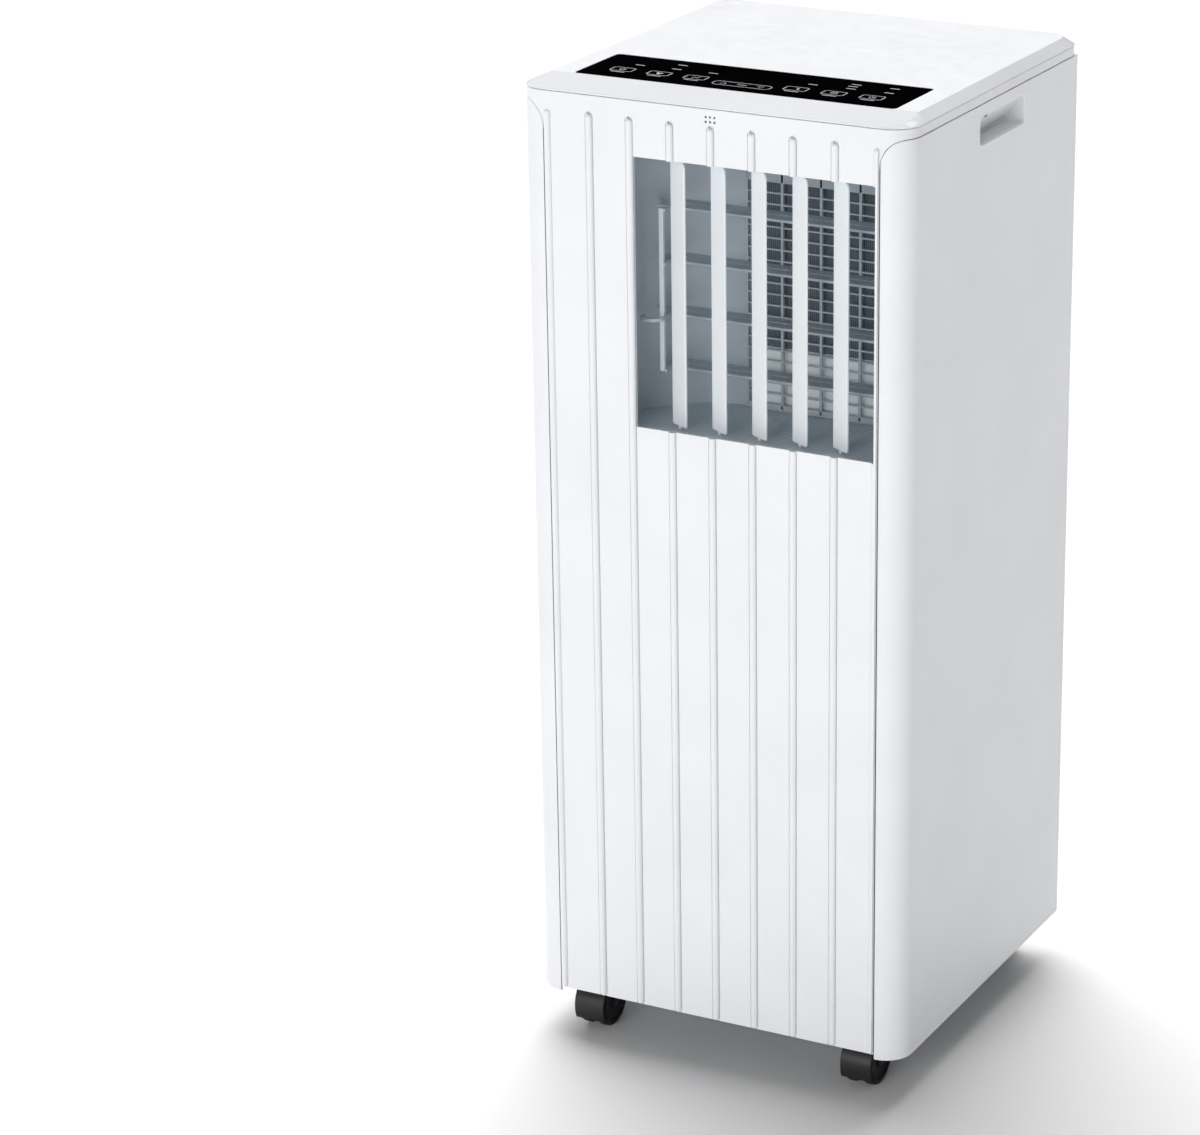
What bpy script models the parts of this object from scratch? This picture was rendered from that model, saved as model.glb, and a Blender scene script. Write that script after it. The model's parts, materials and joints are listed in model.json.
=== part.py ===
"""Portable air conditioner: a slim ribbed cabinet on four twin-wheel casters.

Metres in Blender, millimetres in this script. The front faces -Y, +X is to the right of a person
who looks at the front, and Z is zero where the wheels meet the ground.
"""

import math

import bmesh
import bpy
from mathutils import Matrix, Vector

MM = 0.001
GAP = 0.3  # play between pieces that touch

# Cabinet
WIDTH = 280.0
DEPTH = 280.0
COLLAR_REACH = 14.0
BEAD_RISE = 2.0
FRONT = -(DEPTH + COLLAR_REACH + BEAD_RISE) / 2 + BEAD_RISE
BACK = FRONT + DEPTH
HALF = WIDTH / 2
WALL = 2.5
SEAM_HALF = 120.0  # the front panel's upright seams
BACK_SEAM = 128.0  # where the side panels end on the back
FRONT_RADIUS = 19.0
BACK_RADIUS = 7.0
LID_BACK_RADIUS = 14.0

# Heights
GROUND_CLEARANCE = 32.2
FRONT_BOTTOM = 35.6
SIDE_TOP = 668.2
LID_SEAM = 675.0
LID_TOP = 680.2
DECK_Z = 412.0
DECK_THICK = 3.0
PAN_BOTTOM = 42.0
PAN_FLOOR = PAN_BOTTOM + 3.0

# Upright beads on the front: seven evenly spaced ones between one at each edge of the panel
BEAD_COUNT = 9
BEAD_PITCH = 29.25
BEAD_MIDDLE = 1.3
BEAD_HALF_WIDTH = 2.5
BEAD_TOP = 664.0

# Two rows of holes over the middle bead, for the remote control's receiver
EYE_PITCH = 3.1
EYE_RADIUS = 0.9
EYE_ROWS = (666.7, 669.8)

# Cutaway where the side panels sweep down to the front seam
CUTAWAY_WIDTH = 17.0
CUTAWAY_DROP = 19.0

# Finger pockets near the top of the sides
POCKET_Y = (-35.6, 38.6)
POCKET_Z = (641.0, 660.6)
POCKET_DEEP = 16.0
POCKET_SHALLOW = 4.0

# Control strip let into the lid
STRIP_HALF = 115.0
STRIP_FRONT = FRONT + 33.0
STRIP_BACK = STRIP_FRONT + 61.0
STRIP_RADIUS = 3.0
STRIP_THICK = 1.5

# Air outlet
WINDOW_LEFT = -54.8
WINDOW_RIGHT = 118.0
WINDOW_BOTTOM = 456.0
WINDOW_TOP = 638.3
DUCT_LEFT = -76.0
DUCT_RIGHT = 118.6
DUCT_FLOOR = 453.0
DUCT_CEILING = 642.0
DUCT_WALL = 2.0
DUCT_DEPTH = 82.0
SCROLL_RADIUS = 64.0
SCROLL_X = DUCT_LEFT + SCROLL_RADIUS
SCROLL_Y = FRONT + DUCT_DEPTH - SCROLL_RADIUS

# Guard of thin bars at the back of the duct, and the screen behind it
GUARD_LEFT = -13.5
GUARD_THICK = 2.5
GUARD_UPRIGHT = 13.4
GUARD_UPRIGHT_PITCH = 28.4
GUARD_UPRIGHTS = 4
GUARD_LEVEL_TOP = 602.6
GUARD_LEVEL_PITCH = 7.66
GUARD_LEVELS = 19
GUARD_BAND_LOW = 457.6
GUARD_BAND_HIGH = 609.7
SCREEN_THICK = 2.3

# Upright vanes, turned towards the right as they stand
VANE_COUNT = 5
VANE_CHORD = 16.0
VANE_THICK = 1.8
VANE_DEPTH = 17.0
VANE_ANGLE = math.radians(-60)
VANE_BOTTOM = 455.0
VANE_TOP = 635.5
VANE_X0 = -31.0
VANE_PIN_RADIUS = 1.2
VANE_LINK_RADIUS = 6.0
VANE_LINK_HEIGHT = 2.5
VANE_LINK_HALF = 1.4

# Level blades behind the vanes
BLADE_COUNT = 4
BLADE_TOP_Z = 595.0
BLADE_PITCH = 36.4
BLADE_DEPTH = 53.0
BLADE_CHORD = 20.0
BLADE_THICK = 2.0
BLADE_LEFT = -60.0
BLADE_RIGHT = 116.5
BLADE_LINK_ARM = 17.5
BLADE_LINK_X = -53.0
BLADE_LINK_HALF = 1.7
ARM_HALF = 0.8  # the arms that tie the blades to their link
TAB_BLADE = 2  # counted from the top, from zero
TAB_RADIUS = 7.2
TAB_HALF_HEIGHT = 1.2

# Blowers
UPPER_FAN = (28.0, 556.0)
LOWER_FAN = (-45.0, 335.0)
FAN_RADIUS = 62.0
COLLAR_BORE = 65.0
COLLAR_WALL = 4.0

# Rear grilles, as width, bottom and top
UPPER_GRILLE = (216.0, 432.0, 648.0)
LOWER_GRILLE = (216.0, 70.0, 246.0)
GRILLE_BAR = 4.0
GRILLE_THICK = 4.0

# Small openings in the back, as x and z
DRAINS = ((95.0, 410.0), (60.0, 56.0))
DRAIN_RADIUS = 8.0
CORD_AT = (92.0, 290.0)
GLAND_RADIUS = 9.0

# Cooling circuit
COMPRESSOR_AT = (52.0, FRONT + 92.0)
ACCUMULATOR_STEP = 82.0

# Casters
WHEEL_RADIUS = 18.0
WHEEL_WIDTH = 7.5
CASTER_X = 103.0
FRONT_WHEEL_Y = -118.0
REAR_WHEEL_Y = 107.0
CASTER_TRAIL = 6.0
STEM_RADIUS = 4.0

COLOURS = {
    "white_shell": ((0.90, 0.91, 0.93), 0.38, 0.0),
    "control_glass": ((0.01, 0.01, 0.012), 0.12, 0.0),
    "pale_grey": ((0.62, 0.65, 0.68), 0.45, 0.0),
    "mid_grey": ((0.30, 0.32, 0.34), 0.5, 0.0),
    "vane_white": ((0.86, 0.88, 0.90), 0.35, 0.0),
    "black_plastic": ((0.03, 0.03, 0.032), 0.4, 0.0),
    "wheel_black": ((0.015, 0.015, 0.016), 0.5, 0.0),
    "steel": ((0.55, 0.56, 0.58), 0.35, 1.0),
    "black_steel": ((0.03, 0.03, 0.03), 0.4, 0.3),
    "fins": ((0.75, 0.78, 0.80), 0.35, 1.0),
    "copper": ((0.80, 0.42, 0.26), 0.3, 1.0),
    "board_green": ((0.03, 0.22, 0.10), 0.5, 0.0),
    "filter_mesh": ((0.12, 0.13, 0.14), 0.8, 0.0),
    "rubber": ((0.03, 0.03, 0.03), 0.8, 0.0),
}


def clear_scene():
    for old in list(bpy.data.objects):
        bpy.data.objects.remove(old, do_unlink=True)


def material(name):
    found = bpy.data.materials.get(name)
    if found:
        return found
    colour, roughness, metallic = COLOURS[name]
    made = bpy.data.materials.new(name)
    made.use_nodes = True
    shader = made.node_tree.nodes["Principled BSDF"]
    shader.inputs["Base Color"].default_value = (*colour, 1.0)
    shader.inputs["Roughness"].default_value = roughness
    shader.inputs["Metallic"].default_value = metallic
    return made


# ---------------------------------------------------------------- outlines and solids


def rounded(corners, steps=5):
    """The outline through corners given as (u, v, radius), each replaced by an arc."""
    outline = []
    count = len(corners)
    for i, (u, v, radius) in enumerate(corners):
        here = Vector((u, v))
        if radius <= 0:
            outline.append((u, v))
            continue
        back = (Vector(corners[i - 1][:2]) - here).normalized()
        on = (Vector(corners[(i + 1) % count][:2]) - here).normalized()
        half = back.angle(on) / 2
        centre = here + (back + on).normalized() * radius / math.sin(half)
        start = here + back * radius / math.tan(half) - centre
        end = here + on * radius / math.tan(half) - centre
        turn = start.angle_signed(end)
        for k in range(steps + 1):
            spoke = start.copy()
            spoke.rotate(Matrix.Rotation(-turn * k / steps, 2))
            outline.append(tuple(centre + spoke))
    return outline


def circle(u, v, radius, sides=24):
    turn = 2 * math.pi / sides
    return [(u + radius * math.cos(turn * k), v + radius * math.sin(turn * k)) for k in range(sides)]


def rectangle(left, right, low, high, radius=0.0):
    return rounded([(left, low, radius), (right, low, radius), (right, high, radius), (left, high, radius)])


def along(axis, u, v, w):
    """A point from its place in the outline (u, v) and its height w along the axis."""
    return {"X": (w, u, v), "Y": (u, w, v), "Z": (u, v, w)}[axis]


def finish_mesh(name, mesh_data, look, smooth_angle=None):
    bmesh.ops.recalc_face_normals(mesh_data, faces=mesh_data.faces)
    bmesh.ops.scale(mesh_data, vec=(MM, MM, MM), verts=mesh_data.verts)
    mesh = bpy.data.meshes.new(name)
    mesh_data.to_mesh(mesh)
    mesh_data.free()
    if smooth_angle:
        mesh.shade_smooth()
        mesh.set_sharp_from_angle(angle=math.radians(smooth_angle))
    made = bpy.data.objects.new(name, mesh)
    made.data.materials.append(material(look))
    bpy.context.scene.collection.objects.link(made)
    return made


def loft(name, rings, look, smooth_angle=30):
    """A closed solid through rings of equal point counts, capped at both ends."""
    made = bmesh.new()
    layers = [[made.verts.new(point) for point in ring] for ring in rings]
    for low, high in zip(layers, layers[1:]):
        for k in range(len(low)):
            after = (k + 1) % len(low)
            made.faces.new((low[k], low[after], high[after], high[k]))
    made.faces.new(layers[0][::-1])
    made.faces.new(layers[-1])
    return finish_mesh(name, made, look, smooth_angle)


def prism(name, outline, low, high, axis, look):
    rings = [[along(axis, u, v, w) for u, v in outline] for w in (low, high)]
    return loft(name, rings, look)


def box(name, xs, ys, zs, look):
    return prism(name, rectangle(xs[0], xs[1], ys[0], ys[1]), zs[0], zs[1], "Z", look)


def cylinder(name, centre, radius, low, high, axis, look, sides=24):
    return prism(name, circle(*centre, radius, sides), low, high, axis, look)


def ring_prism(name, outer, inner, low, high, axis, look):
    """A tube whose two outlines have the same number of points."""
    made = bmesh.new()
    walls = [
        [made.verts.new(along(axis, u, v, w)) for u, v in outline]
        for outline, w in ((outer, low), (outer, high), (inner, high), (inner, low))
    ]
    for first, second in zip(walls, walls[1:] + walls[:1]):
        for k in range(len(first)):
            after = (k + 1) % len(first)
            made.faces.new((first[k], first[after], second[after], second[k]))
    return finish_mesh(name, made, look, 30)


def turned(name, profile, centre, axis, look, sides=24):
    """A solid of revolution from (radius, height) pairs that start and end on the axis."""
    rings = []
    for radius, height in profile:
        rings.append([along(axis, u, v, height) for u, v in circle(*centre, max(radius, 0.01), sides)])
    return loft(name, rings, look)


def hide_tool(tool):
    tool.hide_render = True
    tool.display_type = "WIRE"


def boolean(target, tool, operation):
    change = target.modifiers.new(tool.name, "BOOLEAN")
    change.operation = operation
    change.solver = "EXACT"
    change.object = tool
    hide_tool(tool)


def cut(target, *tools):
    for tool in tools:
        boolean(target, tool, "DIFFERENCE")


def join(target, *tools):
    for tool in tools:
        boolean(target, tool, "UNION")


def set_origin(made, point):
    """Puts the object's origin on its joint's axis, in millimetres."""
    place = Vector(point) * MM
    made.data.transform(Matrix.Translation(-place))
    made.location = place


def merged(name, parts):
    """One tool made of several separate solids."""
    gathered = bmesh.new()
    for part in parts:
        gathered.from_mesh(part.data)
        bpy.data.objects.remove(part, do_unlink=True)
    mesh = bpy.data.meshes.new(name)
    gathered.to_mesh(mesh)
    gathered.free()
    made = bpy.data.objects.new(name, mesh)
    bpy.context.scene.collection.objects.link(made)
    return made


def lattice(name, xs, zs, solid, low, high, look):
    """A flat grille across X and Z: the cells between grid lines for which solid(i, j) is true."""
    made = bmesh.new()
    corners = {}

    def corner(i, j, w):
        key = (i, j, w)
        if key not in corners:
            corners[key] = made.verts.new((xs[i], w, zs[j]))
        return corners[key]

    def filled(i, j):
        return 0 <= i < len(xs) - 1 and 0 <= j < len(zs) - 1 and solid(i, j)

    for i in range(len(xs) - 1):
        for j in range(len(zs) - 1):
            if not filled(i, j):
                continue
            ends = [(i, j), (i + 1, j), (i + 1, j + 1), (i, j + 1)]
            made.faces.new([corner(*end, low) for end in ends])
            made.faces.new([corner(*end, high) for end in reversed(ends)])
            beside = ((0, -1), (1, 0), (0, 1), (-1, 0))
            for k, (di, dj) in enumerate(beside):
                if filled(i + di, j + dj):
                    continue
                first, second = ends[k], ends[(k + 1) % 4]
                lower = (corner(*second, low), corner(*first, low))
                upper = (corner(*first, high), corner(*second, high))
                made.faces.new(lower + upper)
    return finish_mesh(name, made, look)


def on_a_bar(i, j):
    """Whether a lattice cell lies on an upright or a level bar: bars and gaps take turns."""
    return i % 2 == 0 or j % 2 == 0


def bars(low, high, bar, pitch):
    """Grid lines of evenly spaced bars between two edge bars."""
    count = max(2, round((high - low - bar) / pitch))
    step = (high - low - bar) / count
    lines = []
    for k in range(count + 1):
        lines += [low + k * step, low + k * step + bar]
    return lines


def pipe(name, points, radius, look):
    """A round pipe along a smooth curve through the given points."""
    made = bpy.data.curves.new(name, "CURVE")
    made.dimensions = "3D"
    made.bevel_depth = radius * MM
    made.bevel_resolution = 2
    made.resolution_u = 3
    made.use_fill_caps = True
    spline = made.splines.new("BEZIER")
    spline.bezier_points.add(len(points) - 1)
    for knot, point in zip(spline.bezier_points, points):
        knot.co = Vector(point) * MM
        knot.handle_left_type = "AUTO"
        knot.handle_right_type = "AUTO"
    placed = bpy.data.objects.new(name, made)
    placed.data.materials.append(material(look))
    bpy.context.scene.collection.objects.link(placed)
    return placed


# ---------------------------------------------------------------- casing


def body_outline(half, front, back, front_radius, back_radius):
    front_corners = [(-half, front, front_radius), (half, front, front_radius)]
    back_corners = [(half, back, back_radius), (-half, back, back_radius)]
    return rounded(front_corners + back_corners)


def cutaway_curve(sign, play):
    """The swept line from the front seam up to the side panel's top edge, as (x, z)."""
    centre_x = SEAM_HALF + CUTAWAY_WIDTH
    centre_z = SIDE_TOP - CUTAWAY_DROP
    points = []
    for k in range(9):
        turn = math.pi / 2 * k / 8
        x = centre_x - (CUTAWAY_WIDTH + play) * math.cos(turn)
        z = centre_z + (CUTAWAY_DROP + play) * math.sin(turn)
        points.append((sign * x, z))
    return points


def side_panel(name, sign):
    """A tall side shell that wraps both corners, with a moulded finger pocket."""
    thick = WALL - GAP
    inner = HALF - thick
    outline = rounded(
        [
            (sign * SEAM_HALF, FRONT, 0),
            (sign * HALF, FRONT, FRONT_RADIUS),
            (sign * HALF, BACK, BACK_RADIUS),
            (sign * BACK_SEAM, BACK, 0),
            (sign * BACK_SEAM, BACK - thick, 0),
            (sign * inner, BACK - thick, BACK_RADIUS - thick),
            (sign * inner, FRONT + thick, FRONT_RADIUS - thick),
            (sign * SEAM_HALF, FRONT + thick, 0),
        ]
    )
    panel = prism(name, outline, GROUND_CLEARANCE, SIDE_TOP, "Z", "white_shell")
    sweep = cutaway_curve(sign, 0.0)
    above = [(sign * (SEAM_HALF - 2), SIDE_TOP - CUTAWAY_DROP)] + sweep
    above += [(sign * (SEAM_HALF + CUTAWAY_WIDTH), SIDE_TOP + 5), (sign * (SEAM_HALF - 2), SIDE_TOP + 5)]
    corner = prism(name + "_cutaway", above, FRONT - 1, FRONT + FRONT_RADIUS, "Y", "white_shell")
    cut(panel, corner)
    pocket, hollow = finger_pocket(name, sign)
    join(panel, pocket)
    cut(panel, hollow)
    return panel


def finger_pocket(name, sign):
    """The pocket's block and the hollow cut from it: shallow at the top, deep at the bottom ledge."""
    low, high = POCKET_Z
    skin = 2.0
    deep, shallow = HALF - POCKET_DEEP, HALF - POCKET_SHALLOW
    slope = [(HALF + 1, low), (deep, low), (deep, low + 3), (shallow, high), (HALF + 1, high)]
    hollow_outline = [(sign * x, z) for x, z in slope]
    block = [
        (HALF - 1, low - skin),
        (deep - skin, low - skin),
        (deep - skin, low + 4),
        (shallow - skin, high + skin),
        (HALF - 1, high + skin),
    ]
    block_outline = [(sign * x, z) for x, z in block]
    ends = (POCKET_Y[0] - skin, POCKET_Y[1] + skin)
    pocket = prism(name + "_pocket", block_outline, *ends, "Y", "white_shell")
    hollow = prism(name + "_hollow", hollow_outline, *POCKET_Y, "Y", "white_shell")
    return pocket, hollow


def bead_x(index):
    at_edge = SEAM_HALF - GAP - 0.1 - BEAD_HALF_WIDTH
    if index == 0:
        return -at_edge
    if index == BEAD_COUNT - 1:
        return at_edge
    return BEAD_MIDDLE + (index - (BEAD_COUNT - 1) / 2) * BEAD_PITCH


def bead(index):
    """A half-round bead, sunk a little into the panel."""
    x = bead_x(index)
    outline = [(x - BEAD_HALF_WIDTH, FRONT + 1)]
    for k in range(7):
        turn = math.pi * k / 6
        outline.append((x - BEAD_HALF_WIDTH * math.cos(turn), FRONT - BEAD_RISE * math.sin(turn)))
    outline.append((x + BEAD_HALF_WIDTH, FRONT + 1))
    return prism(f"bead_{index}", outline, FRONT_BOTTOM + 0.2, BEAD_TOP, "Z", "white_shell")


def eye_holes():
    """The holes of the receiver, two rows of three."""
    holes = []
    for row, z in enumerate(EYE_ROWS):
        for column in (-1, 0, 1):
            x = BEAD_MIDDLE + column * EYE_PITCH
            through = (FRONT - 1, FRONT + WALL + 1)
            name = f"eye_{row}_{column}"
            holes.append(cylinder(name, (x, z), EYE_RADIUS, *through, "Y", "white_shell", 8))
    return merged("front_eye", holes)


def front_panel():
    """The beaded front with the outlet window, in one piece with the band under the lid."""
    plate = box(
        "front_panel",
        (-SEAM_HALF + GAP, SEAM_HALF - GAP),
        (FRONT, FRONT + WALL),
        (FRONT_BOTTOM, LID_SEAM),
        "white_shell",
    )
    band_half = HALF - 0.5
    radii = (FRONT_RADIUS, LID_BACK_RADIUS)
    outer = body_outline(band_half, FRONT, BACK, *radii)
    inner = body_outline(band_half - WALL, FRONT + WALL, BACK - WALL, *[radius - WALL for radius in radii])
    band = ring_prism("front_band", outer, inner, SIDE_TOP + GAP, LID_SEAM, "Z", "white_shell")
    ears = [front_ear(sign) for sign in (-1, 1)]
    beads = [bead(index) for index in range(BEAD_COUNT)]
    window = box(
        "window_cut",
        (WINDOW_LEFT, WINDOW_RIGHT),
        (FRONT - 5, FRONT + 5),
        (WINDOW_BOTTOM, WINDOW_TOP),
        "white_shell",
    )
    join(plate, band, *ears, merged("front_beads", beads))
    cut(plate, window, eye_holes())
    return plate


def front_ear(sign):
    """The front corner above the cutaway, between the flat front and the band."""
    outline = rounded(
        [
            (sign * (SEAM_HALF - 1), FRONT, 0),
            (sign * (HALF - 0.5), FRONT, FRONT_RADIUS),
            (sign * (HALF - 0.5), FRONT + FRONT_RADIUS - 1, 0),
            (sign * (HALF - 0.5 - WALL), FRONT + FRONT_RADIUS - 1, 0),
            (sign * (HALF - 0.5 - WALL), FRONT + WALL, FRONT_RADIUS - WALL - 1.5),
            (sign * (SEAM_HALF - 1), FRONT + WALL, 0),
        ]
    )
    heights = (SIDE_TOP - CUTAWAY_DROP + GAP, SIDE_TOP + 2)
    ear = prism(f"front_ear_{sign}", outline, *heights, "Z", "white_shell")
    below = cutaway_curve(sign, GAP)
    below = [(sign * (SEAM_HALF - GAP), SIDE_TOP - CUTAWAY_DROP - 5)] + below
    below += [(sign * (HALF + 1), SIDE_TOP + GAP), (sign * (HALF + 1), SIDE_TOP - CUTAWAY_DROP - 5)]
    under = prism(f"front_ear_cut_{sign}", below, FRONT - 1, FRONT + FRONT_RADIUS + 2, "Y", "white_shell")
    cut(ear, under)
    return ear


def lid():
    """The flat lid: sides chamfered, front sloping down from the control strip."""
    inset = 8.7
    low = body_outline(HALF, FRONT, BACK, FRONT_RADIUS, LID_BACK_RADIUS)
    high = body_outline(HALF - inset, FRONT + 1.5, BACK - 0.5, FRONT_RADIUS, LID_BACK_RADIUS)
    rings = [
        [(x, y, LID_SEAM + GAP) for x, y in low],
        [(x, y, LID_SEAM + 1.0) for x, y in low],
        [(x, y, LID_TOP) for x, y in high],
    ]
    plate = loft("lid", rings, "white_shell")
    crease = STRIP_FRONT - 1.5
    slope = [(FRONT - 2, LID_SEAM + 1.3), (crease, LID_TOP)]
    slope += [(crease, LID_TOP + 5), (FRONT - 2, LID_TOP + 5)]
    apron = prism("lid_apron", slope, -HALF - 5, HALF + 5, "X", "white_shell")
    bed = prism(
        "lid_bed",
        rectangle(-STRIP_HALF - GAP, STRIP_HALF + GAP, STRIP_FRONT - GAP, STRIP_BACK + GAP, STRIP_RADIUS),
        LID_TOP - STRIP_THICK,
        LID_TOP + 1,
        "Z",
        "white_shell",
    )
    side = HALF - 12
    hollow = (LID_SEAM - 1, LID_SEAM + 2)
    under = box("lid_under", (-side, side), (FRONT + 60, BACK - 12), hollow, "white_shell")
    cut(plate, apron, bed, under)
    return plate


def control_strip():
    outline = rectangle(-STRIP_HALF, STRIP_HALF, STRIP_FRONT, STRIP_BACK, STRIP_RADIUS)
    return prism("control_strip", outline, LID_TOP - STRIP_THICK + GAP, LID_TOP, "Z", "control_glass")


def rear_panel():
    """The back between the side panels, with two grille openings, the exhaust hole and small holes."""
    side = BACK_SEAM - GAP
    panel = box("rear_panel", (-side, side), (BACK - WALL, BACK), (PAN_BOTTOM, SIDE_TOP), "white_shell")
    through = (BACK - 5, BACK + 5)
    tools = []
    for label, (width, low, high) in (("upper", UPPER_GRILLE), ("lower", LOWER_GRILLE)):
        name, across = f"{label}_grille_cut", (-width / 2, width / 2)
        tools.append(box(name, across, through, (low, high), "white_shell"))
    sleeve = COLLAR_BORE + COLLAR_WALL + GAP
    tools.append(cylinder("collar_cut", LOWER_FAN, sleeve, *through, "Y", "white_shell", 48))
    for place in DRAINS:
        tools.append(cylinder("drain_cut", place, DRAIN_RADIUS + GAP, *through, "Y", "white_shell", 20))
    tools.append(cylinder("cord_cut", CORD_AT, GLAND_RADIUS + GAP, *through, "Y", "white_shell", 20))
    cut(panel, merged("rear_openings", tools))
    return panel


def grille(name, size, look):
    width, low, high = size
    xs = bars(-width / 2 + GAP, width / 2 - GAP, GRILLE_BAR, 70.0)
    zs = bars(low + GAP, high - GAP, GRILLE_BAR, 12.0)
    outside = BACK + 0.5
    made = lattice(name, xs, zs, on_a_bar, outside - GRILLE_THICK, outside, look)
    set_origin(made, (0, BACK, (low + high) / 2))
    return made


def air_filter(name, size):
    width, low, high = size
    made = prism(
        name,
        rectangle(-width / 2 + 4, width / 2 - 4, low + 4, high - 4, 3.0),
        BACK - 6.0,
        BACK - 3.5 - GAP,
        "Y",
        "filter_mesh",
    )
    set_origin(made, (0, BACK - 5, (low + high) / 2))
    return made


def exhaust_collar():
    """The round hose spigot: a sleeve through the rear panel with a flange outside it."""
    outside = circle(*LOWER_FAN, COLLAR_BORE + COLLAR_WALL, 48)
    bore = circle(*LOWER_FAN, COLLAR_BORE, 48)
    ends = (FRONT + 214, BACK + COLLAR_REACH)
    sleeve = ring_prism("exhaust_collar", outside, bore, *ends, "Y", "white_shell")
    flange = ring_prism(
        "collar_flange",
        circle(*LOWER_FAN, COLLAR_BORE + 12, 48),
        circle(*LOWER_FAN, COLLAR_BORE + 1, 48),
        BACK + GAP,
        BACK + GAP + 3,
        "Y",
        "white_shell",
    )
    join(sleeve, flange)
    return sleeve


def drain_plug(name, place):
    x, z = place
    radius = DRAIN_RADIUS
    profile = [(0, BACK - 10), (radius - 1.5, BACK - 10), (radius, BACK - 8), (radius, BACK + GAP)]
    profile += [(radius + 3, BACK + GAP), (radius + 3, BACK + 4)]
    profile += [(radius + 1.5, BACK + 5.5), (0, BACK + 5.5)]
    made = turned(name, profile, (x, z), "Y", "rubber", 20)
    set_origin(made, (x, BACK, z))
    return made


def cord_gland():
    """The grommet that the supply cord enters by."""
    sleeve, bore = circle(*CORD_AT, GLAND_RADIUS), circle(*CORD_AT, 3.8)
    collar = ring_prism("cord_gland", sleeve, bore, BACK - 6, BACK + 4, "Y", "black_plastic")
    rim, inside = circle(*CORD_AT, GLAND_RADIUS + 3), circle(*CORD_AT, 5.0)
    lip = ring_prism("gland_lip", rim, inside, BACK + GAP, BACK + 3, "Y", "black_plastic")
    join(collar, lip)
    return collar


def base_pan():
    """The moulded tray with four caster sockets and upright walls."""
    half = HALF - 5.5
    front, back = FRONT + 6, BACK - 6
    outer = rectangle(-half, half, front, back, 12.0)
    inner = rectangle(-half + WALL, half - WALL, front + WALL, back - WALL, 10.0)
    pan = prism("base_pan", outer, PAN_BOTTOM, PAN_BOTTOM + 20, "Z", "mid_grey")
    well = prism("pan_well", inner, PAN_FLOOR, PAN_BOTTOM + 25, "Z", "mid_grey")
    cut(pan, well)
    sockets = []
    holes = []
    for index, place in enumerate(caster_stems()):
        solid, hollow = (PAN_BOTTOM + 1, PAN_BOTTOM + 18), (PAN_BOTTOM - 5, PAN_BOTTOM + 15)
        sockets.append(cylinder(f"socket_{index}", place, 9.0, *solid, "Z", "mid_grey"))
        holes.append(cylinder(f"hole_{index}", place, STEM_RADIUS + GAP, *hollow, "Z", "mid_grey"))
    join(pan, merged("pan_sockets", sockets))
    cut(pan, merged("pan_holes", holes))
    notch = cylinder("pan_drain", DRAINS[1], DRAIN_RADIUS + 4, BACK - 20, BACK, "Y", "mid_grey", 20)
    cut(pan, notch)
    return pan


# ---------------------------------------------------------------- outlet


def duct_plan(grow):
    """The duct's plan from the front: straight on the right, a quarter scroll on the left."""
    left, right = DUCT_LEFT - grow, DUCT_RIGHT + grow
    front = FRONT + WALL + GAP if grow else FRONT
    radius = SCROLL_RADIUS + grow
    plan = [(right, FRONT + DUCT_DEPTH + grow)]
    for k in range(9):
        turn = math.pi / 2 * (1 + k / 8)
        plan.append((SCROLL_X + radius * math.cos(turn), SCROLL_Y + radius * math.sin(turn)))
    return plan + [(left, front), (right, front)]


def scroll_edge(y):
    """Where the duct's left wall stands at this depth."""
    return SCROLL_X - math.sqrt(SCROLL_RADIUS**2 - (y - SCROLL_Y) ** 2)


def air_duct():
    """The moulded chamber behind the window, open in front and at the guard."""
    low, high = DUCT_FLOOR - DUCT_WALL, DUCT_CEILING + DUCT_WALL
    shell = prism("air_duct", duct_plan(DUCT_WALL), low, high, "Z", "mid_grey")
    hollow = prism("duct_hollow", duct_plan(0.0), DUCT_FLOOR, DUCT_CEILING, "Z", "mid_grey")
    throat = box(
        "duct_throat",
        (SCROLL_X + 1, DUCT_RIGHT - 4),
        (FRONT + DUCT_DEPTH - 2, FRONT + DUCT_DEPTH + 6),
        (DUCT_FLOOR + 4, DUCT_CEILING - 4),
        "mid_grey",
    )
    cut(shell, hollow, throat)
    return shell


def outlet_guard():
    """Thin bars in a frame that is broad at the top."""
    xs = [GUARD_LEFT, GUARD_LEFT + 2]
    for k in range(GUARD_UPRIGHTS):
        middle = GUARD_UPRIGHT + k * GUARD_UPRIGHT_PITCH
        xs += [middle - 1, middle + 1]
    xs += [DUCT_RIGHT - GAP - 2, DUCT_RIGHT - GAP]
    zs = [DUCT_FLOOR + GAP, GUARD_BAND_LOW]
    for k in reversed(range(GUARD_LEVELS)):
        middle = GUARD_LEVEL_TOP - k * GUARD_LEVEL_PITCH
        zs += [middle - 0.6, middle + 0.6]
    zs += [GUARD_BAND_HIGH, DUCT_CEILING - GAP]
    back = FRONT + DUCT_DEPTH - 1
    return lattice("outlet_guard", xs, zs, on_a_bar, back - GUARD_THICK, back, "pale_grey")


def outlet_screen():
    """The fine finned screen between the duct and the blower."""
    front = FRONT + DUCT_DEPTH + DUCT_WALL + GAP
    wide, tall = (GUARD_LEFT, DUCT_RIGHT - 1), (DUCT_FLOOR + 1, DUCT_CEILING - 1)
    return box("outlet_screen", wide, (front, front + SCREEN_THICK), tall, "filter_mesh")


def vane_x(index):
    return VANE_X0 + index * BEAD_PITCH


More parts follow.
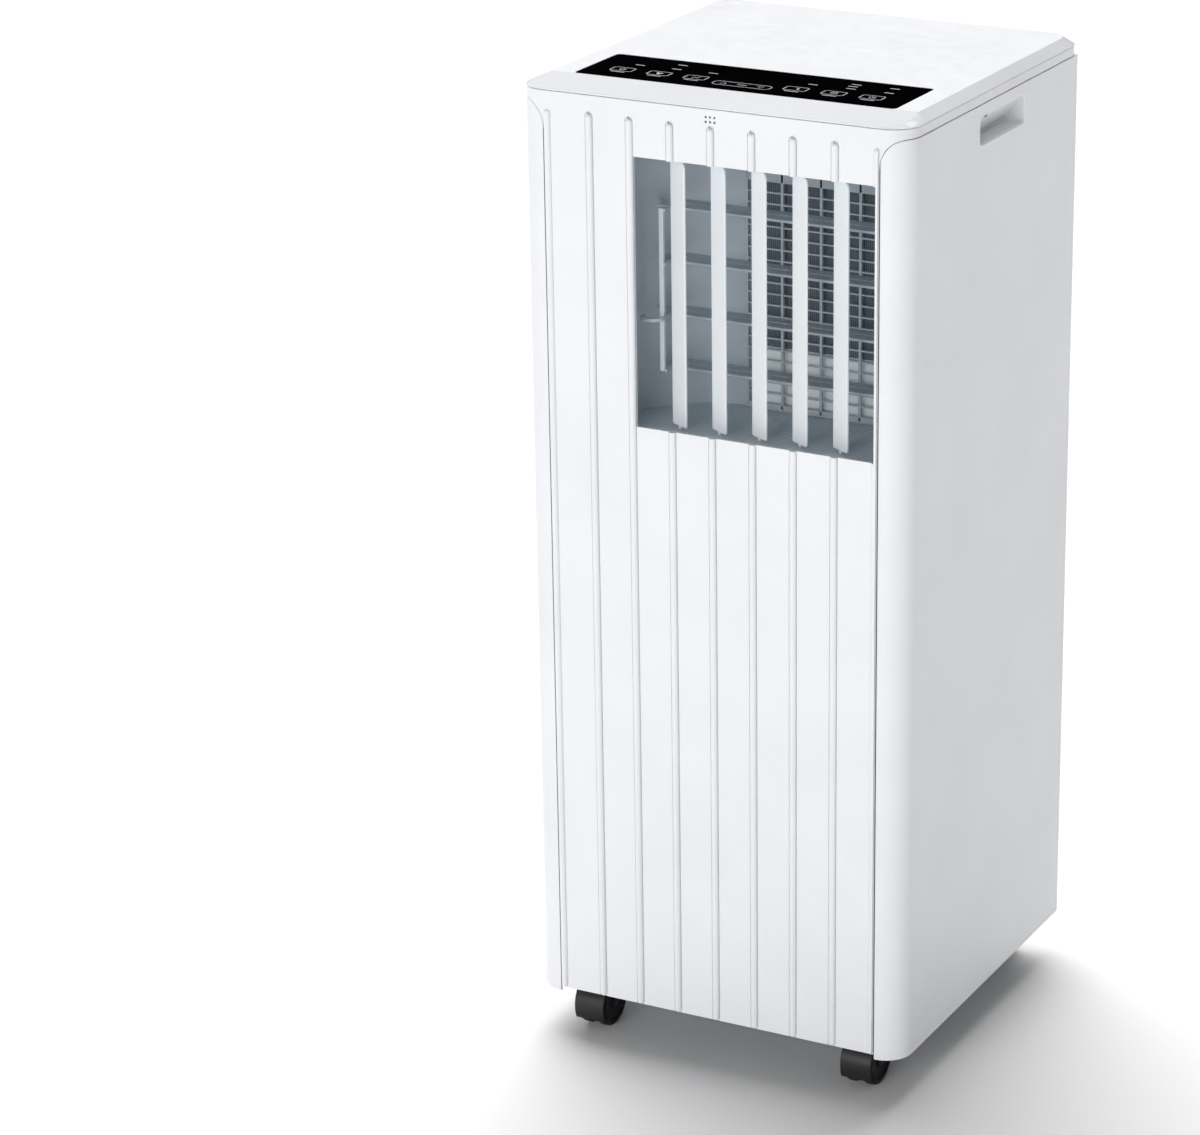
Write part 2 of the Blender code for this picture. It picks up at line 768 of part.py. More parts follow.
def vane(index):
    """An upright vane on pins, its front edge turned to the right."""
    x, y = vane_x(index), FRONT + VANE_DEPTH
    half, thin = VANE_CHORD / 2, VANE_THICK / 2
    flat = rounded([(-thin, -half, 0.8), (thin, -half, 0.8), (thin, half, 0.8), (-thin, half, 0.8)], 3)
    outline = []
    for u, v in flat:
        spun = Vector((u, v))
        spun.rotate(Matrix.Rotation(-VANE_ANGLE, 2))
        outline.append((x + spun.x, y + spun.y))
    made = prism(f"vane_{index + 1}", outline, VANE_BOTTOM, VANE_TOP, "Z", "vane_white")
    ends = (DUCT_FLOOR + GAP, DUCT_CEILING - GAP)
    pin = cylinder(f"vane_pin_{index + 1}", (x, y), VANE_PIN_RADIUS, *ends, "Z", "vane_white", 12)
    join(made, pin)
    set_origin(made, (x, y, (VANE_BOTTOM + VANE_TOP) / 2))
    return made


def vane_link_offset():
    """From a vane's axis to its crank pin on the link, behind the axis."""
    spun = Vector((0, VANE_LINK_RADIUS))
    spun.rotate(Matrix.Rotation(-VANE_ANGLE, 2))
    return spun


def vane_link():
    """The flat bar over the vanes that makes them turn together."""
    offset = vane_link_offset()
    y = FRONT + VANE_DEPTH + offset.y
    left = vane_x(0) + offset.x - 4
    right = vane_x(VANE_COUNT - 1) + offset.x + 4
    low = VANE_TOP + GAP
    bar = rectangle(left, right, y - VANE_LINK_HALF, y + VANE_LINK_HALF)
    made = prism("vane_link", bar, low, low + VANE_LINK_HEIGHT, "Z", "vane_white")
    set_origin(made, (vane_x(0) + offset.x, y, VANE_TOP))
    return made


def blade_z(index):
    return BLADE_TOP_Z - index * BLADE_PITCH


def blade(index):
    """A level blade on an axle across the duct, its rear left corner cut back to clear the scroll."""
    y, z = FRONT + BLADE_DEPTH, blade_z(index)
    half, thin = BLADE_CHORD / 2, BLADE_THICK / 2
    plan = [(BLADE_LEFT, y - half), (BLADE_RIGHT, y - half), (BLADE_RIGHT, y + half)]
    plan += [(BLADE_LEFT + 13, y + half), (BLADE_LEFT, y + 2)]
    made = prism(f"blade_{index + 1}", plan, z - thin, z + thin, "Z", "pale_grey")
    ends = (scroll_edge(y) + 2.5, DUCT_RIGHT - GAP)
    axle = cylinder(f"blade_axle_{index + 1}", (y, z), 1.4, *ends, "X", "pale_grey", 12)
    join(made, axle, blade_arm(index, y - half + 1))
    set_origin(made, ((BLADE_LEFT + BLADE_RIGHT) / 2, y, z))
    return made


def blade_arm(index, root):
    """The arm beside the link, which on one blade carries on into a hooked finger tab."""
    name, z = f"blade_arm_{index + 1}", blade_z(index)
    x = BLADE_LINK_X + BLADE_LINK_HALF + GAP + ARM_HALF
    pin = FRONT + BLADE_DEPTH - BLADE_LINK_ARM
    if index != TAB_BLADE:
        return box(name, (x - ARM_HALF, x + ARM_HALF), (pin - 2, root), (z - 1.2, z + 1.2), "pale_grey")
    centre_x, centre_y = x - TAB_RADIUS, pin - 4
    outer, inner = [(x + ARM_HALF, root)], [(x - ARM_HALF, root)]
    for k in range(11):
        turn = -math.pi * k / 10
        across, ahead = math.cos(turn), math.sin(turn)
        outer.append((centre_x + (TAB_RADIUS + 1.3) * across - 0.5, centre_y + (TAB_RADIUS + 1.3) * ahead))
        inner.append((centre_x + (TAB_RADIUS - 1.3) * across + 0.5, centre_y + (TAB_RADIUS - 1.3) * ahead))
    return prism(name, outer + inner[::-1], z - TAB_HALF_HEIGHT, z + TAB_HALF_HEIGHT, "Z", "pale_grey")


def blade_link():
    """The upright bar in front of the blades that makes them tilt together."""
    x, y = BLADE_LINK_X, FRONT + BLADE_DEPTH - BLADE_LINK_ARM
    low, high = blade_z(BLADE_COUNT - 1) - 1, blade_z(0) + 1
    wide = (x - BLADE_LINK_HALF, x + BLADE_LINK_HALF)
    bar = box("blade_link", wide, (y - 1.5, y + 1.5), (low, high), "vane_white")
    set_origin(bar, (x, y, blade_z(0)))
    return bar


def swing_motors():
    """The small geared motors that swing the blades and the vanes, outside the duct."""
    beside = (DUCT_RIGHT + DUCT_WALL + GAP, HALF - 6)
    cylinder("blade_motor", (FRONT + BLADE_DEPTH, blade_z(0)), 14.0, *beside, "X", "steel")
    above = (DUCT_CEILING + DUCT_WALL + GAP, 662.0)
    cylinder("vane_motor", (vane_x(2), FRONT + VANE_DEPTH + 2), 13.0, *above, "Z", "steel")


# ---------------------------------------------------------------- blowers and cooling circuit


def blower_wheel(name, centre, low, high):
    """A squirrel-cage wheel on a back plate with a hub."""
    plate = cylinder(name, centre, FAN_RADIUS, high - 3, high, "Y", "black_plastic", 40)
    rim, mouth = circle(*centre, FAN_RADIUS, 40), circle(*centre, FAN_RADIUS - 9, 40)
    ring = ring_prism(name + "_ring", rim, mouth, low, low + 3, "Y", "black_plastic")
    hub = cylinder(name + "_hub", centre, 11.0, low + 12, high - 1, "Y", "black_plastic", 20)
    fins = []
    count = 20
    for k in range(count):
        turn = 2 * math.pi * k / count
        spoke = Vector((math.cos(turn), math.sin(turn)))
        lean = Vector((math.cos(turn + 0.9), math.sin(turn + 0.9)))
        side = Vector((-lean.y, lean.x)) * 0.8
        root = spoke * (FAN_RADIUS - 8)
        tip = root + lean * 7
        corners = [root - side, tip - side, tip + side, root + side]
        outline = [(centre[0] + c.x, centre[1] + c.y) for c in corners]
        fins.append(prism(f"{name}_fin_{k}", outline, low + 1, high - 1, "Y", "black_plastic"))
    join(plate, ring, hub, merged(name + "_fins", fins))
    set_origin(plate, (centre[0], (low + high) / 2, centre[1]))
    return plate


def blower_casing(name, centre, half_width, low_z, high_z, low, high):
    """A rounded casing with a round hollow for the wheel."""
    x, z = centre
    outline = rectangle(x - half_width, x + half_width, low_z, high_z, 14.0)
    made = prism(name, outline, low, high, "Y", "mid_grey")
    cut(made, cylinder(name + "_bore", centre, FAN_RADIUS + 4, low - 2, high + 2, "Y", "mid_grey", 40))
    return made


def fan_motor(name, centre, low, high):
    profile = [(0, low), (26, low), (32, low + 6), (32, high - 6), (26, high), (0, high)]
    return turned(name, profile, centre, "Y", "steel", 28)


def coil(name, half_width, ys, zs):
    """A finned block between two end plates."""
    made = box(name, (-half_width, half_width), ys, (zs[0] + 2, zs[1] - 2), "fins")
    ends = []
    for side in (-half_width, half_width):
        ends.append(box(f"{name}_end", (side - 1, side + 1), (ys[0] - 2, ys[1] + 2), zs, "steel"))
    join(made, merged(name + "_ends", ends))
    return made


def compressor():
    """The welded can of the compressor on its foot plate."""
    x, y = COMPRESSOR_AT
    low = PAN_FLOOR + GAP
    profile = [(0, low + 2), (38, low + 2), (50, low + 14), (52, low + 24), (52, low + 165)]
    profile += [(49, low + 178), (40, low + 187), (20, low + 191), (0, low + 191)]
    can = turned("compressor", profile, (x, y), "Z", "black_steel", 28)
    plate = rectangle(x - 46, x + 46, y - 46, y + 46, 14.0)
    join(can, prism("compressor_foot", plate, low, low + 4, "Z", "black_steel"))
    return can


def accumulator():
    """The slim can beside the compressor, strapped to it."""
    x, y = COMPRESSOR_AT[0] - ACCUMULATOR_STEP, COMPRESSOR_AT[1]
    low = 118.0
    profile = [(0, low - 12), (6, low - 10), (20, low), (22, low + 8)]
    profile += [(22, low + 100), (18, low + 110), (0, low + 114)]
    made = turned("accumulator", profile, (x, y), "Z", "black_steel", 24)
    heights = (low + 40, low + 60)
    strap = box("accumulator_strap", (x + 18, x + 29.5), (y - 6, y + 6), heights, "black_steel")
    join(made, strap)
    return made


# ---------------------------------------------------------------- casters


def caster_wheels_at():
    return [(sign * CASTER_X, y) for y in (FRONT_WHEEL_Y, REAR_WHEEL_Y) for sign in (-1, 1)]


def caster_stems():
    return [(x, y + CASTER_TRAIL) for x, y in caster_wheels_at()]


def fender_arc(y, z, radius):
    """Points over a wheel, from behind its top to below its front."""
    points = []
    for k in range(11):
        turn = math.radians(35 + 170 * k / 10)
        points.append((y + radius * math.cos(turn), z + radius * math.sin(turn)))
    return points


def caster_hood(index, place):
    """The swivelling hood: a curved fender on a centre web, and the stem."""
    x, y = place
    z = WHEEL_RADIUS
    web = prism(f"caster_hood_{index}", circle(y, z, 14.0, 20), x - 2.6, x + 2.6, "X", "black_plastic")
    outer = WHEEL_RADIUS + 2.6
    fender_outline = fender_arc(y, z, outer) + fender_arc(y, z, WHEEL_RADIUS + 0.8)[::-1]
    fender = prism(f"fender_{index}", fender_outline, x - 11.4, x + 11.4, "X", "black_plastic")
    heights = (z + 2, z + outer - 0.6)
    neck = box(f"neck_{index}", (x - 2.6, x + 2.6), (y - 8, y + 9), heights, "black_plastic")
    ends = (z + outer - 3, PAN_BOTTOM + 14)
    stem = cylinder(f"stem_{index}", (x, y + CASTER_TRAIL), STEM_RADIUS, *ends, "Z", "black_plastic", 12)
    bore = cylinder(f"axle_bore_{index}", (y, z), 2.3, x - 8, x + 8, "X", "black_plastic", 12)
    join(web, neck, fender, stem)
    cut(web, bore)
    set_origin(web, (x, y + CASTER_TRAIL, z))
    return web


def caster_wheels(index, place):
    """The two wheels on one axle."""
    x, y = place
    z = WHEEL_RADIUS
    axle = cylinder(f"caster_wheels_{index}", (y, z), 2.0, x - 8, x + 8, "X", "wheel_black", 12)
    discs = []
    for sign in (-1, 1):
        inner, outer = x + sign * 3.2, x + sign * (3.2 + WHEEL_WIDTH)
        profile = [(0, inner), (WHEEL_RADIUS - 1, inner), (WHEEL_RADIUS, inner + sign)]
        profile += [(WHEEL_RADIUS, outer - 1.5 * sign), (WHEEL_RADIUS - 1.5, outer), (0, outer)]
        discs.append(turned(f"disc_{index}_{sign}", profile, (y, z), "X", "wheel_black", 28))
    join(axle, *discs)
    set_origin(axle, (x, y, z))
    return axle


# ---------------------------------------------------------------- assembly


def build_casing():
    front_panel()
    side_panel("left_side_panel", -1)
    side_panel("right_side_panel", 1)
    rear_panel()
    lid()
    control_strip()
    base_pan()
    exhaust_collar()
    cord_gland()
    for name, size in (("upper", UPPER_GRILLE), ("lower", LOWER_GRILLE)):
        grille(f"{name}_grille", size, "white_shell")
        air_filter(f"{name}_filter", size)
    for name, place in zip(("upper_drain_plug", "lower_drain_plug"), DRAINS):
        drain_plug(name, place)


def build_outlet():
    air_duct()
    outlet_guard()
    outlet_screen()
    for index in range(VANE_COUNT):
        vane(index)
    vane_link()
    for index in range(BLADE_COUNT):
        blade(index)
    blade_link()
    swing_motors()


def build_works():
    box("control_board", (-100, 100), (STRIP_FRONT + 6, STRIP_BACK - 4), (666.5, 668.1), "board_green")
    box("remote_receiver", (-7, 7), (FRONT + WALL + GAP, FRONT + WALL + 9), (664.0, 672.5), "black_plastic")
    plan = rectangle(-HALF + 6, HALF - 6, FRONT + 6, BACK - 14, 14.0)
    prism("deck", plan, DECK_Z, DECK_Z + DECK_THICK, "Z", "mid_grey")
    blower_casing("evaporator_fan_casing", UPPER_FAN, 84, 470, 642, FRONT + 87, FRONT + 145)
    blower_wheel("evaporator_fan", UPPER_FAN, FRONT + 90, FRONT + 140)
    fan_motor("evaporator_fan_motor", UPPER_FAN, FRONT + 141, FRONT + 185)
    coil("evaporator", 100, (FRONT + 222, FRONT + 246), (434, 646))
    tray()
    blower_casing("condenser_fan_casing", LOWER_FAN, 78, 258, 409, FRONT + 152, FRONT + 210)
    blower_wheel("condenser_fan", LOWER_FAN, FRONT + 155, FRONT + 205)
    fan_motor("condenser_fan_motor", LOWER_FAN, FRONT + 104, FRONT + 154)
    coil("condenser", 86, (FRONT + 236, FRONT + 262), (PAN_FLOOR + GAP, 250))
    compressor()
    accumulator()
    box("electrics_box", (60, 128), (FRONT + 14, FRONT + 60), (300, 404), "black_plastic")
    cylinder("run_capacitor", (100, FRONT + 100), 20.0, 330, 404, "Z", "steel", 24)
    pipes()


def tray():
    """The drip tray under the evaporator."""
    floor = DECK_Z + DECK_THICK + GAP
    made = box("drip_tray", (-108, 108), (FRONT + 214, FRONT + 256), (floor, 433), "pale_grey")
    cut(made, box("tray_well", (-106, 106), (FRONT + 216, FRONT + 254), (DECK_Z + 6, 440), "pale_grey"))
    return made


def pipes():
    """The copper pipes that leave the compressor, the accumulator and the condenser."""
    x, y = COMPRESSOR_AT
    top = PAN_FLOOR + 195
    discharge = [(x + 20, y + 10, top), (x + 22, y + 20, top + 20)]
    discharge += [(x + 30, y + 90, 262), (x + 30, y + 153, 254)]
    pipe("discharge_pipe", discharge, 3.0, "copper")
    x -= ACCUMULATOR_STEP
    suction = [(x, y, 234), (x, y - 8, 260), (x - 18, y - 20, 300), (x - 28, y - 10, 406)]
    pipe("suction_pipe", suction, 4.0, "copper")
    y = FRONT + 240
    liquid = [(-95, y + 9, 120), (-110, y, 135), (-123, y - 5, 240), (-123, y, 405)]
    pipe("liquid_pipe", liquid, 2.5, "copper")


def build_casters():
    for index, place in enumerate(caster_wheels_at(), start=1):
        caster_hood(index, place)
        caster_wheels(index, place)


clear_scene()
build_casing()
build_outlet()
build_works()
build_casters()
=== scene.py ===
"""Looks for the portable air conditioner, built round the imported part.

Millimetres in this script, metres in Blender. The front faces -Y, +X is to the right of a person
who looks at the front, and Z is zero where the wheels meet the floor.
"""

import json
import math

import bmesh
import bpy
from mathutils import Matrix, Vector

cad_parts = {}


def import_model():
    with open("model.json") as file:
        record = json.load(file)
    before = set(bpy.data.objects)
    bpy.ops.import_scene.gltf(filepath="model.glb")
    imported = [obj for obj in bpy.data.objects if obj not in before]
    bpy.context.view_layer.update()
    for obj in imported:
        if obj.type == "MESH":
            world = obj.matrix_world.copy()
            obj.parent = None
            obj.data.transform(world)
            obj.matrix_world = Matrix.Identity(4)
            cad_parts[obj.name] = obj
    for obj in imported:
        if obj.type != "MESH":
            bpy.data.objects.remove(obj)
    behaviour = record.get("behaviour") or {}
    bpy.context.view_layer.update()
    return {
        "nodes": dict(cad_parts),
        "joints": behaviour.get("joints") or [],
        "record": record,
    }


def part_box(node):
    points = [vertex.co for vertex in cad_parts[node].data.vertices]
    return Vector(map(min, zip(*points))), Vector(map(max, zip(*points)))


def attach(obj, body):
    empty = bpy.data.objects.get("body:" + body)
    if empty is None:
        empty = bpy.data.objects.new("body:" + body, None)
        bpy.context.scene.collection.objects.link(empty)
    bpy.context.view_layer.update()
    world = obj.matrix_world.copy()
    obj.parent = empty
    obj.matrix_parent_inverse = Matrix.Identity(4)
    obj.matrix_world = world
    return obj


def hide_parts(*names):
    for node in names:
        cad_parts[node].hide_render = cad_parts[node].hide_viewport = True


MM = 0.001
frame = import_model()


def box_mm(node):
    low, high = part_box(node)
    return low / MM, high / MM


# ---------------------------------------------------------------- places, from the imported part

SIDE_LOW, SIDE_HIGH = box_mm("right_side_panel")
HALF = SIDE_HIGH.x
SEAM_HALF = SIDE_LOW.x
FRONT = SIDE_LOW.y
BACK = SIDE_HIGH.y
GROUND_CLEARANCE = SIDE_LOW.z
SIDE_TOP = SIDE_HIGH.z

PANEL_LOW, PANEL_HIGH = box_mm("front_panel")
BAND_HALF = PANEL_HIGH.x
BEAD_RISE = FRONT - PANEL_LOW.y
FRONT_BOTTOM = PANEL_LOW.z
LID_SEAM = PANEL_HIGH.z
LID_TOP = box_mm("lid")[1].z
STRIP_LOW, STRIP_HIGH = box_mm("control_strip")
DUCT_LOW, DUCT_HIGH = box_mm("air_duct")
GUARD_LOW, GUARD_HIGH = box_mm("outlet_guard")

GAP = 0.3
WALL = 2.5
FRONT_RADIUS = 19.0
BACK_RADIUS = 7.0
LID_BACK_RADIUS = 14.0
CUTAWAY_WIDTH = 17.0
CUTAWAY_DROP = 19.0
SIDE_RETURN = 128.0

BEAD_PITCH = 29.25
BEAD_MIDDLE = 1.3
BEAD_HALF_WIDTH = 2.5
BEAD_TOP = 664.0
BEAD_PLACES = [BEAD_MIDDLE + k * BEAD_PITCH for k in range(-3, 4)]
BEAD_ROOT = 1.2
GROOVE_WIDTH = 0.45
GROOVE_DEPTH = 0.7
NOTCH_RADIUS = 1.8
NOTCH_DEPTH = 2.2
NOTCH_DROP = 1.4
BEAD_SHORTER = 1.3
EYE_PITCH = 3.1
EYE_RADIUS = 0.85
EYE_ROWS = (666.7, 669.8)
WINDOW_X = (-54.8, 118.0)
WINDOW_Z = (456.0, 638.3)

DUCT_WALL = 2.0
DUCT_FLOOR = DUCT_LOW.z + DUCT_WALL
DUCT_CEILING = DUCT_HIGH.z - DUCT_WALL
DUCT_RIGHT = DUCT_HIGH.x - DUCT_WALL
SCROLL_RADIUS = 64.0
BROAD_CORNER = 6.0
VANE_ANGLE = math.radians(-60)
VANE_CHORD = 16.0
VANE_THICK = 1.8
VANE_Z = (DUCT_FLOOR + 2.0, DUCT_CEILING - 6.5)
BLADE_X = (-60.0, DUCT_RIGHT - 2.1)
BLADE_THICK = 2.0
TAB_RADIUS = 7.2
ARM_HALF = 0.8

SCREEN_FOOT = 42.0
GUARD_EDGE = 4.3
GUARD_BROAD_TOP = 32.0
GUARD_BAR_HALF = 0.6
GUARD_LEVELS = [602.6 - 7.66 * k for k in range(19)]
GUARD_UPRIGHTS = [13.4 + 28.4 * k for k in range(4)]

LID_INSET = 8.7
LID_CREASE = STRIP_LOW.y - 1.5
STRIP_RADIUS = 3.0

POCKET_Y = (-35.6, 38.6)
POCKET_Z = (641.0, 660.6)
POCKET_CORNER = 3.5
POCKET_DEPTHS = (16.0, 4.0)
# Place and size of the dark-grey stud that paints the shade of a small dent under the pocket's top
# edge.
DENT_SHADE_AT = (-24.6, POCKET_Z[1] - 0.9)
DENT_SHADE_RADIUS = 1.4

COLLAR_FLANGE = 8.0
COLLAR_WALL = 4.0
STOPPER_RIM = 3.0
CASTER_WEB_HALF = 2.6
FENDER_REACH = 2.6

KEY_PITCH = 26.9
KEY_SHIFTS = (-10.2, 8.1)
CENTRE_KEY_X = -0.8
KEY_ROW = STRIP_LOW.y + 22.4
KEY_WIDTH = 15.5
KEY_DEPTH = 9.5
KEY_CLIP = 1.1
LABEL_ROW = KEY_ROW - 7.6
LABEL_HALF = 5.0
CENTRE_KEY_ROW = KEY_ROW - 6.0
CENTRE_KEY_WIDTH = 41.0
CENTRE_KEY_CLIP = 2.4
ARROW_SHIFT = 13.0
DASH_ROW = KEY_ROW + 15.4
DASH_SHIFT = 4.7
DASH_HALF = 3.4
# The indicators behind the row of dashes: the key each one belongs to, and how far behind.
FAR_DASHES = ((1, 11.7), (5, 6.2), (5, 11.7), (6, 12.1))
FAR_DASH_SHIFT = 3.3

# How far in from the lid's edge its top is divided, closest where the crease curves.
LID_STEPS = (0.3, 1, 4, 9, 13.9, 18.9, 24, 28, 29, 29.5, 30, 30.5, 31, 32, 35, 42, 45)
# Where the lid's sides are divided from front to back, closest round the crease.
LID_STATIONS = (-121, -118, -116.5, -115.5, -114.5, -113.5, -112.5, -110, -100, -50, 0, 50, 100)

JOINTS = {joint["name"]: joint for joint in frame["joints"]}


# ---------------------------------------------------------------- materials


def start_material(name):
    made = bpy.data.materials.new(name)
    made.use_nodes = True
    tree = made.node_tree
    return made, tree, tree.nodes["Principled BSDF"]


def noise(tree, feature_mm, detail=2.0, stretch=(1, 1, 1)):
    """A noise value whose features are about this many millimetres across."""
    place = tree.nodes.new("ShaderNodeTexCoord")
    scaled = tree.nodes.new("ShaderNodeMapping")
    scaled.inputs["Scale"].default_value = stretch
    made = tree.nodes.new("ShaderNodeTexNoise")
    made.inputs["Scale"].default_value = 1 / (feature_mm * MM)
    made.inputs["Detail"].default_value = detail
    tree.links.new(place.outputs["Object"], scaled.inputs["Vector"])
    tree.links.new(scaled.outputs["Vector"], made.inputs["Vector"])
    return made.outputs["Fac"]


def stripes(tree, pitch_mm, direction):
    """A smooth wave from 0 to 1 that repeats along X, Y or Z."""
    place = tree.nodes.new("ShaderNodeTexCoord")
    made = tree.nodes.new("ShaderNodeTexWave")
    made.bands_direction = direction
    made.inputs["Scale"].default_value = 2 * math.pi / (pitch_mm * MM) / 20
    tree.links.new(place.outputs["Object"], made.inputs["Vector"])
    return made.outputs["Fac"]


def polish(tree, shader, value, low, high):
    """Roughness that runs from low to high over the middle of the value's range."""
    made = tree.nodes.new("ShaderNodeMapRange")
    made.inputs["From Min"].default_value = 0.3
    made.inputs["From Max"].default_value = 0.7
    made.inputs["To Min"].default_value = low
    made.inputs["To Max"].default_value = high
    tree.links.new(value, made.inputs["Value"])
    tree.links.new(made.outputs["Result"], shader.inputs["Roughness"])


def tint(tree, shader, value, dark, light):
    """A colour that runs from dark to light as the value rises."""
    made = tree.nodes.new("ShaderNodeValToRGB")
    made.color_ramp.elements[0].position = 0.3
    made.color_ramp.elements[0].color = (*dark, 1)
    made.color_ramp.elements[1].position = 0.7
    made.color_ramp.elements[1].color = (*light, 1)
    tree.links.new(value, made.inputs["Fac"])
    tree.links.new(made.outputs["Color"], shader.inputs["Base Color"])


def bump(tree, shader, value, depth_mm):
    made = tree.nodes.new("ShaderNodeBump")
    made.inputs["Strength"].default_value = 1.0
    made.inputs["Distance"].default_value = depth_mm * MM
    tree.links.new(value, made.inputs["Height"])
    tree.links.new(made.outputs["Normal"], shader.inputs["Normal"])


def shade(colour, factor):
    return tuple(channel * factor for channel in colour)


def moulded(name, colour, roughness, grain_mm=0.6, depth_mm=0.004, mottle=0.02, specular=0.5):
    """Moulded plastic: a fine spark-eroded grain, slight mottling and uneven gloss."""
    made, tree, shader = start_material(name)
    shader.inputs["Specular IOR Level"].default_value = specular
    tint(tree, shader, noise(tree, 70, 3), shade(colour, 1 - mottle), shade(colour, 1 + mottle))
    polish(tree, shader, noise(tree, 9, 4), roughness - 0.04, roughness + 0.04)
    bump(tree, shader, noise(tree, grain_mm, 2), depth_mm)
    return made


def metal(name, colour, roughness, stretch, metallic=1.0):
    """Rolled or drawn metal with a grain along one direction."""
    made, tree, shader = start_material(name)
    shader.inputs["Metallic"].default_value = metallic
    grain = noise(tree, 3, 4, stretch)
    tint(tree, shader, grain, shade(colour, 0.82), shade(colour, 1.1))
    polish(tree, shader, grain, roughness - 0.08, roughness + 0.1)
    bump(tree, shader, grain, 0.01)
    return made


def lined(name, pitch_mm, dark, light, roughness, depth_mm, metallic=0.0):
    """Fine lines side by side, darker in the grooves of their bump: bright fins with dark gaps painted
    as shade, a fine screen whose gaps are painted as shade, or a board's tracks.
    """
    made, tree, shader = start_material(name)
    shader.inputs["Metallic"].default_value = metallic
    shader.inputs["Roughness"].default_value = roughness
    lines = stripes(tree, pitch_mm, "X")
    tint(tree, shader, lines, dark, light)
    bump(tree, shader, lines, depth_mm)
    return made


def woven(name):
    """Fine filter net: two crossing sets of threads."""
    made, tree, shader = start_material(name)
    shader.inputs["Roughness"].default_value = 0.75
    crossing = tree.nodes.new("ShaderNodeMath")
    crossing.operation = "MAXIMUM"
    tree.links.new(stripes(tree, 1.3, "X"), crossing.inputs[0])
    tree.links.new(stripes(tree, 1.3, "Z"), crossing.inputs[1])
    tint(tree, shader, crossing.outputs[0], (0.012, 0.013, 0.015), (0.11, 0.12, 0.13))
    bump(tree, shader, crossing.outputs[0], 0.3)
    return made


def ribbed(name, colour, roughness):
    """Moulded plastic with fine level ridges, their troughs painted darker and their crests lighter,
    as painted shade and painted light.
    """
    made, tree, shader = start_material(name)
    ridges = stripes(tree, 2.6, "Y")
    tint(tree, shader, ridges, shade(colour, 0.7), shade(colour, 1.15))
    polish(tree, shader, noise(tree, 9, 4), roughness - 0.04, roughness + 0.04)
    bump(tree, shader, ridges, 0.3)
    return made


def black_glass(name):
    """Printed black acrylic, nearly flawless, with faint polishing marks."""
    made, tree, shader = start_material(name)
    shader.inputs["Specular IOR Level"].default_value = 0.0
    tint(tree, shader, noise(tree, 40), (0.0008, 0.0008, 0.0009), (0.0015, 0.0015, 0.0017))
    polish(tree, shader, noise(tree, 5, 4, (1, 6, 1)), 0.12, 0.2)
    bump(tree, shader, noise(tree, 12), 0.002)
    return made


LOOKS = {
    "white_shell": moulded("white_shell", (0.80, 0.81, 0.835), 0.36),
    # Darker copies of the white shell: painted shade for the lid's chamfered sides and sloping front,
    # which also reflects less.
    "chamfer_painted_shade": moulded("chamfer_painted_shade", (0.64, 0.65, 0.675), 0.36),
    "apron_painted_shade": moulded("apron_painted_shade", (0.68, 0.69, 0.715), 0.45, specular=0.05),
    "control_glass": black_glass("control_glass"),
    "key_print": moulded("key_print", (0.55, 0.56, 0.58), 0.5, mottle=0.08),
    "pale_grey": moulded("pale_grey", (0.50, 0.56, 0.61), 0.42),
    "screen_white": moulded("screen_white", (0.93, 0.975, 1.0), 0.4, mottle=0.0),
    "mid_grey": moulded("mid_grey", (0.22, 0.25, 0.28), 0.5, mottle=0.04),
    "duct_grey": moulded("duct_grey", (0.52, 0.58, 0.63), 0.5, mottle=0.03),
    # The duct's ridges carry painted shade in their troughs and painted light on their crests.
    "duct_ridges": ribbed("duct_ridges", (0.66, 0.74, 0.80), 0.5),
    # The screen is slate-coloured, and its darker lines are painted shade in the gaps between its
    # fins.
    "screen_slate": lined("screen_slate", 1.5, (0.09, 0.12, 0.15), (0.18, 0.23, 0.27), 0.55, 0.4),
    "vane_white": moulded("vane_white", (0.78, 0.82, 0.85), 0.33),
    "black_plastic": moulded("black_plastic", (0.014, 0.014, 0.015), 0.36, 0.5, 0.01, 0.1, 0.35),
    "wheel_black": moulded("wheel_black", (0.004, 0.004, 0.0045), 0.42, 0.8, 0.015, 0.15, 0.15),
    "steel": metal("steel", (0.5, 0.51, 0.53), 0.32, (1, 1, 8)),
    "black_steel": metal("black_steel", (0.02, 0.02, 0.021), 0.38, (1, 1, 3), 0.3),
    # The fins' dark lines are painted shade in the gaps between the fins.
    "fins": lined("fins", 1.6, (0.05, 0.06, 0.07), (0.75, 0.78, 0.8), 0.35, 0.6, metallic=1.0),
    "copper": metal("copper", (0.72, 0.36, 0.22), 0.28, (1, 1, 6)),
    "board_green": lined("board_green", 3.0, (0.01, 0.1, 0.04), (0.03, 0.2, 0.09), 0.35, 0.05),
    "filter_mesh": woven("filter_mesh"),
    "rubber": moulded("rubber", (0.02, 0.02, 0.021), 0.7, 0.7, 0.02, 0.15),
}


def dress_cad_nodes():
    """Gives every carried-over node the finish of its material slot."""
    for subpart in frame["record"]["subparts"]:
        node = frame["nodes"][subpart["node"]]
        node.data.materials.clear()
        node.data.materials.append(LOOKS[subpart["material_slot"]])


# ---------------------------------------------------------------- outlines


def arc(u, v, radius, start, end, steps):
    """Points on a circle from start to end, in degrees."""
    points = []
    for k in range(steps + 1):
        turn = math.radians(start + (end - start) * k / steps)
        points.append((u + radius * math.cos(turn), v + radius * math.sin(turn)))
    return points


def circle(u, v, radius, sides=48):
    return arc(u, v, radius, 0, 360 * (sides - 1) / sides, sides - 1)


def round_box(left, right, low, high, radius, steps=6):
    """A rectangle with round corners, anticlockwise from the lower left."""
    outline = arc(left + radius, low + radius, radius, 180, 270, steps)
    outline += arc(right - radius, low + radius, radius, 270, 360, steps)
    outline += arc(right - radius, high - radius, radius, 0, 90, steps)
    outline += arc(left + radius, high - radius, radius, 90, 180, steps)
    return outline


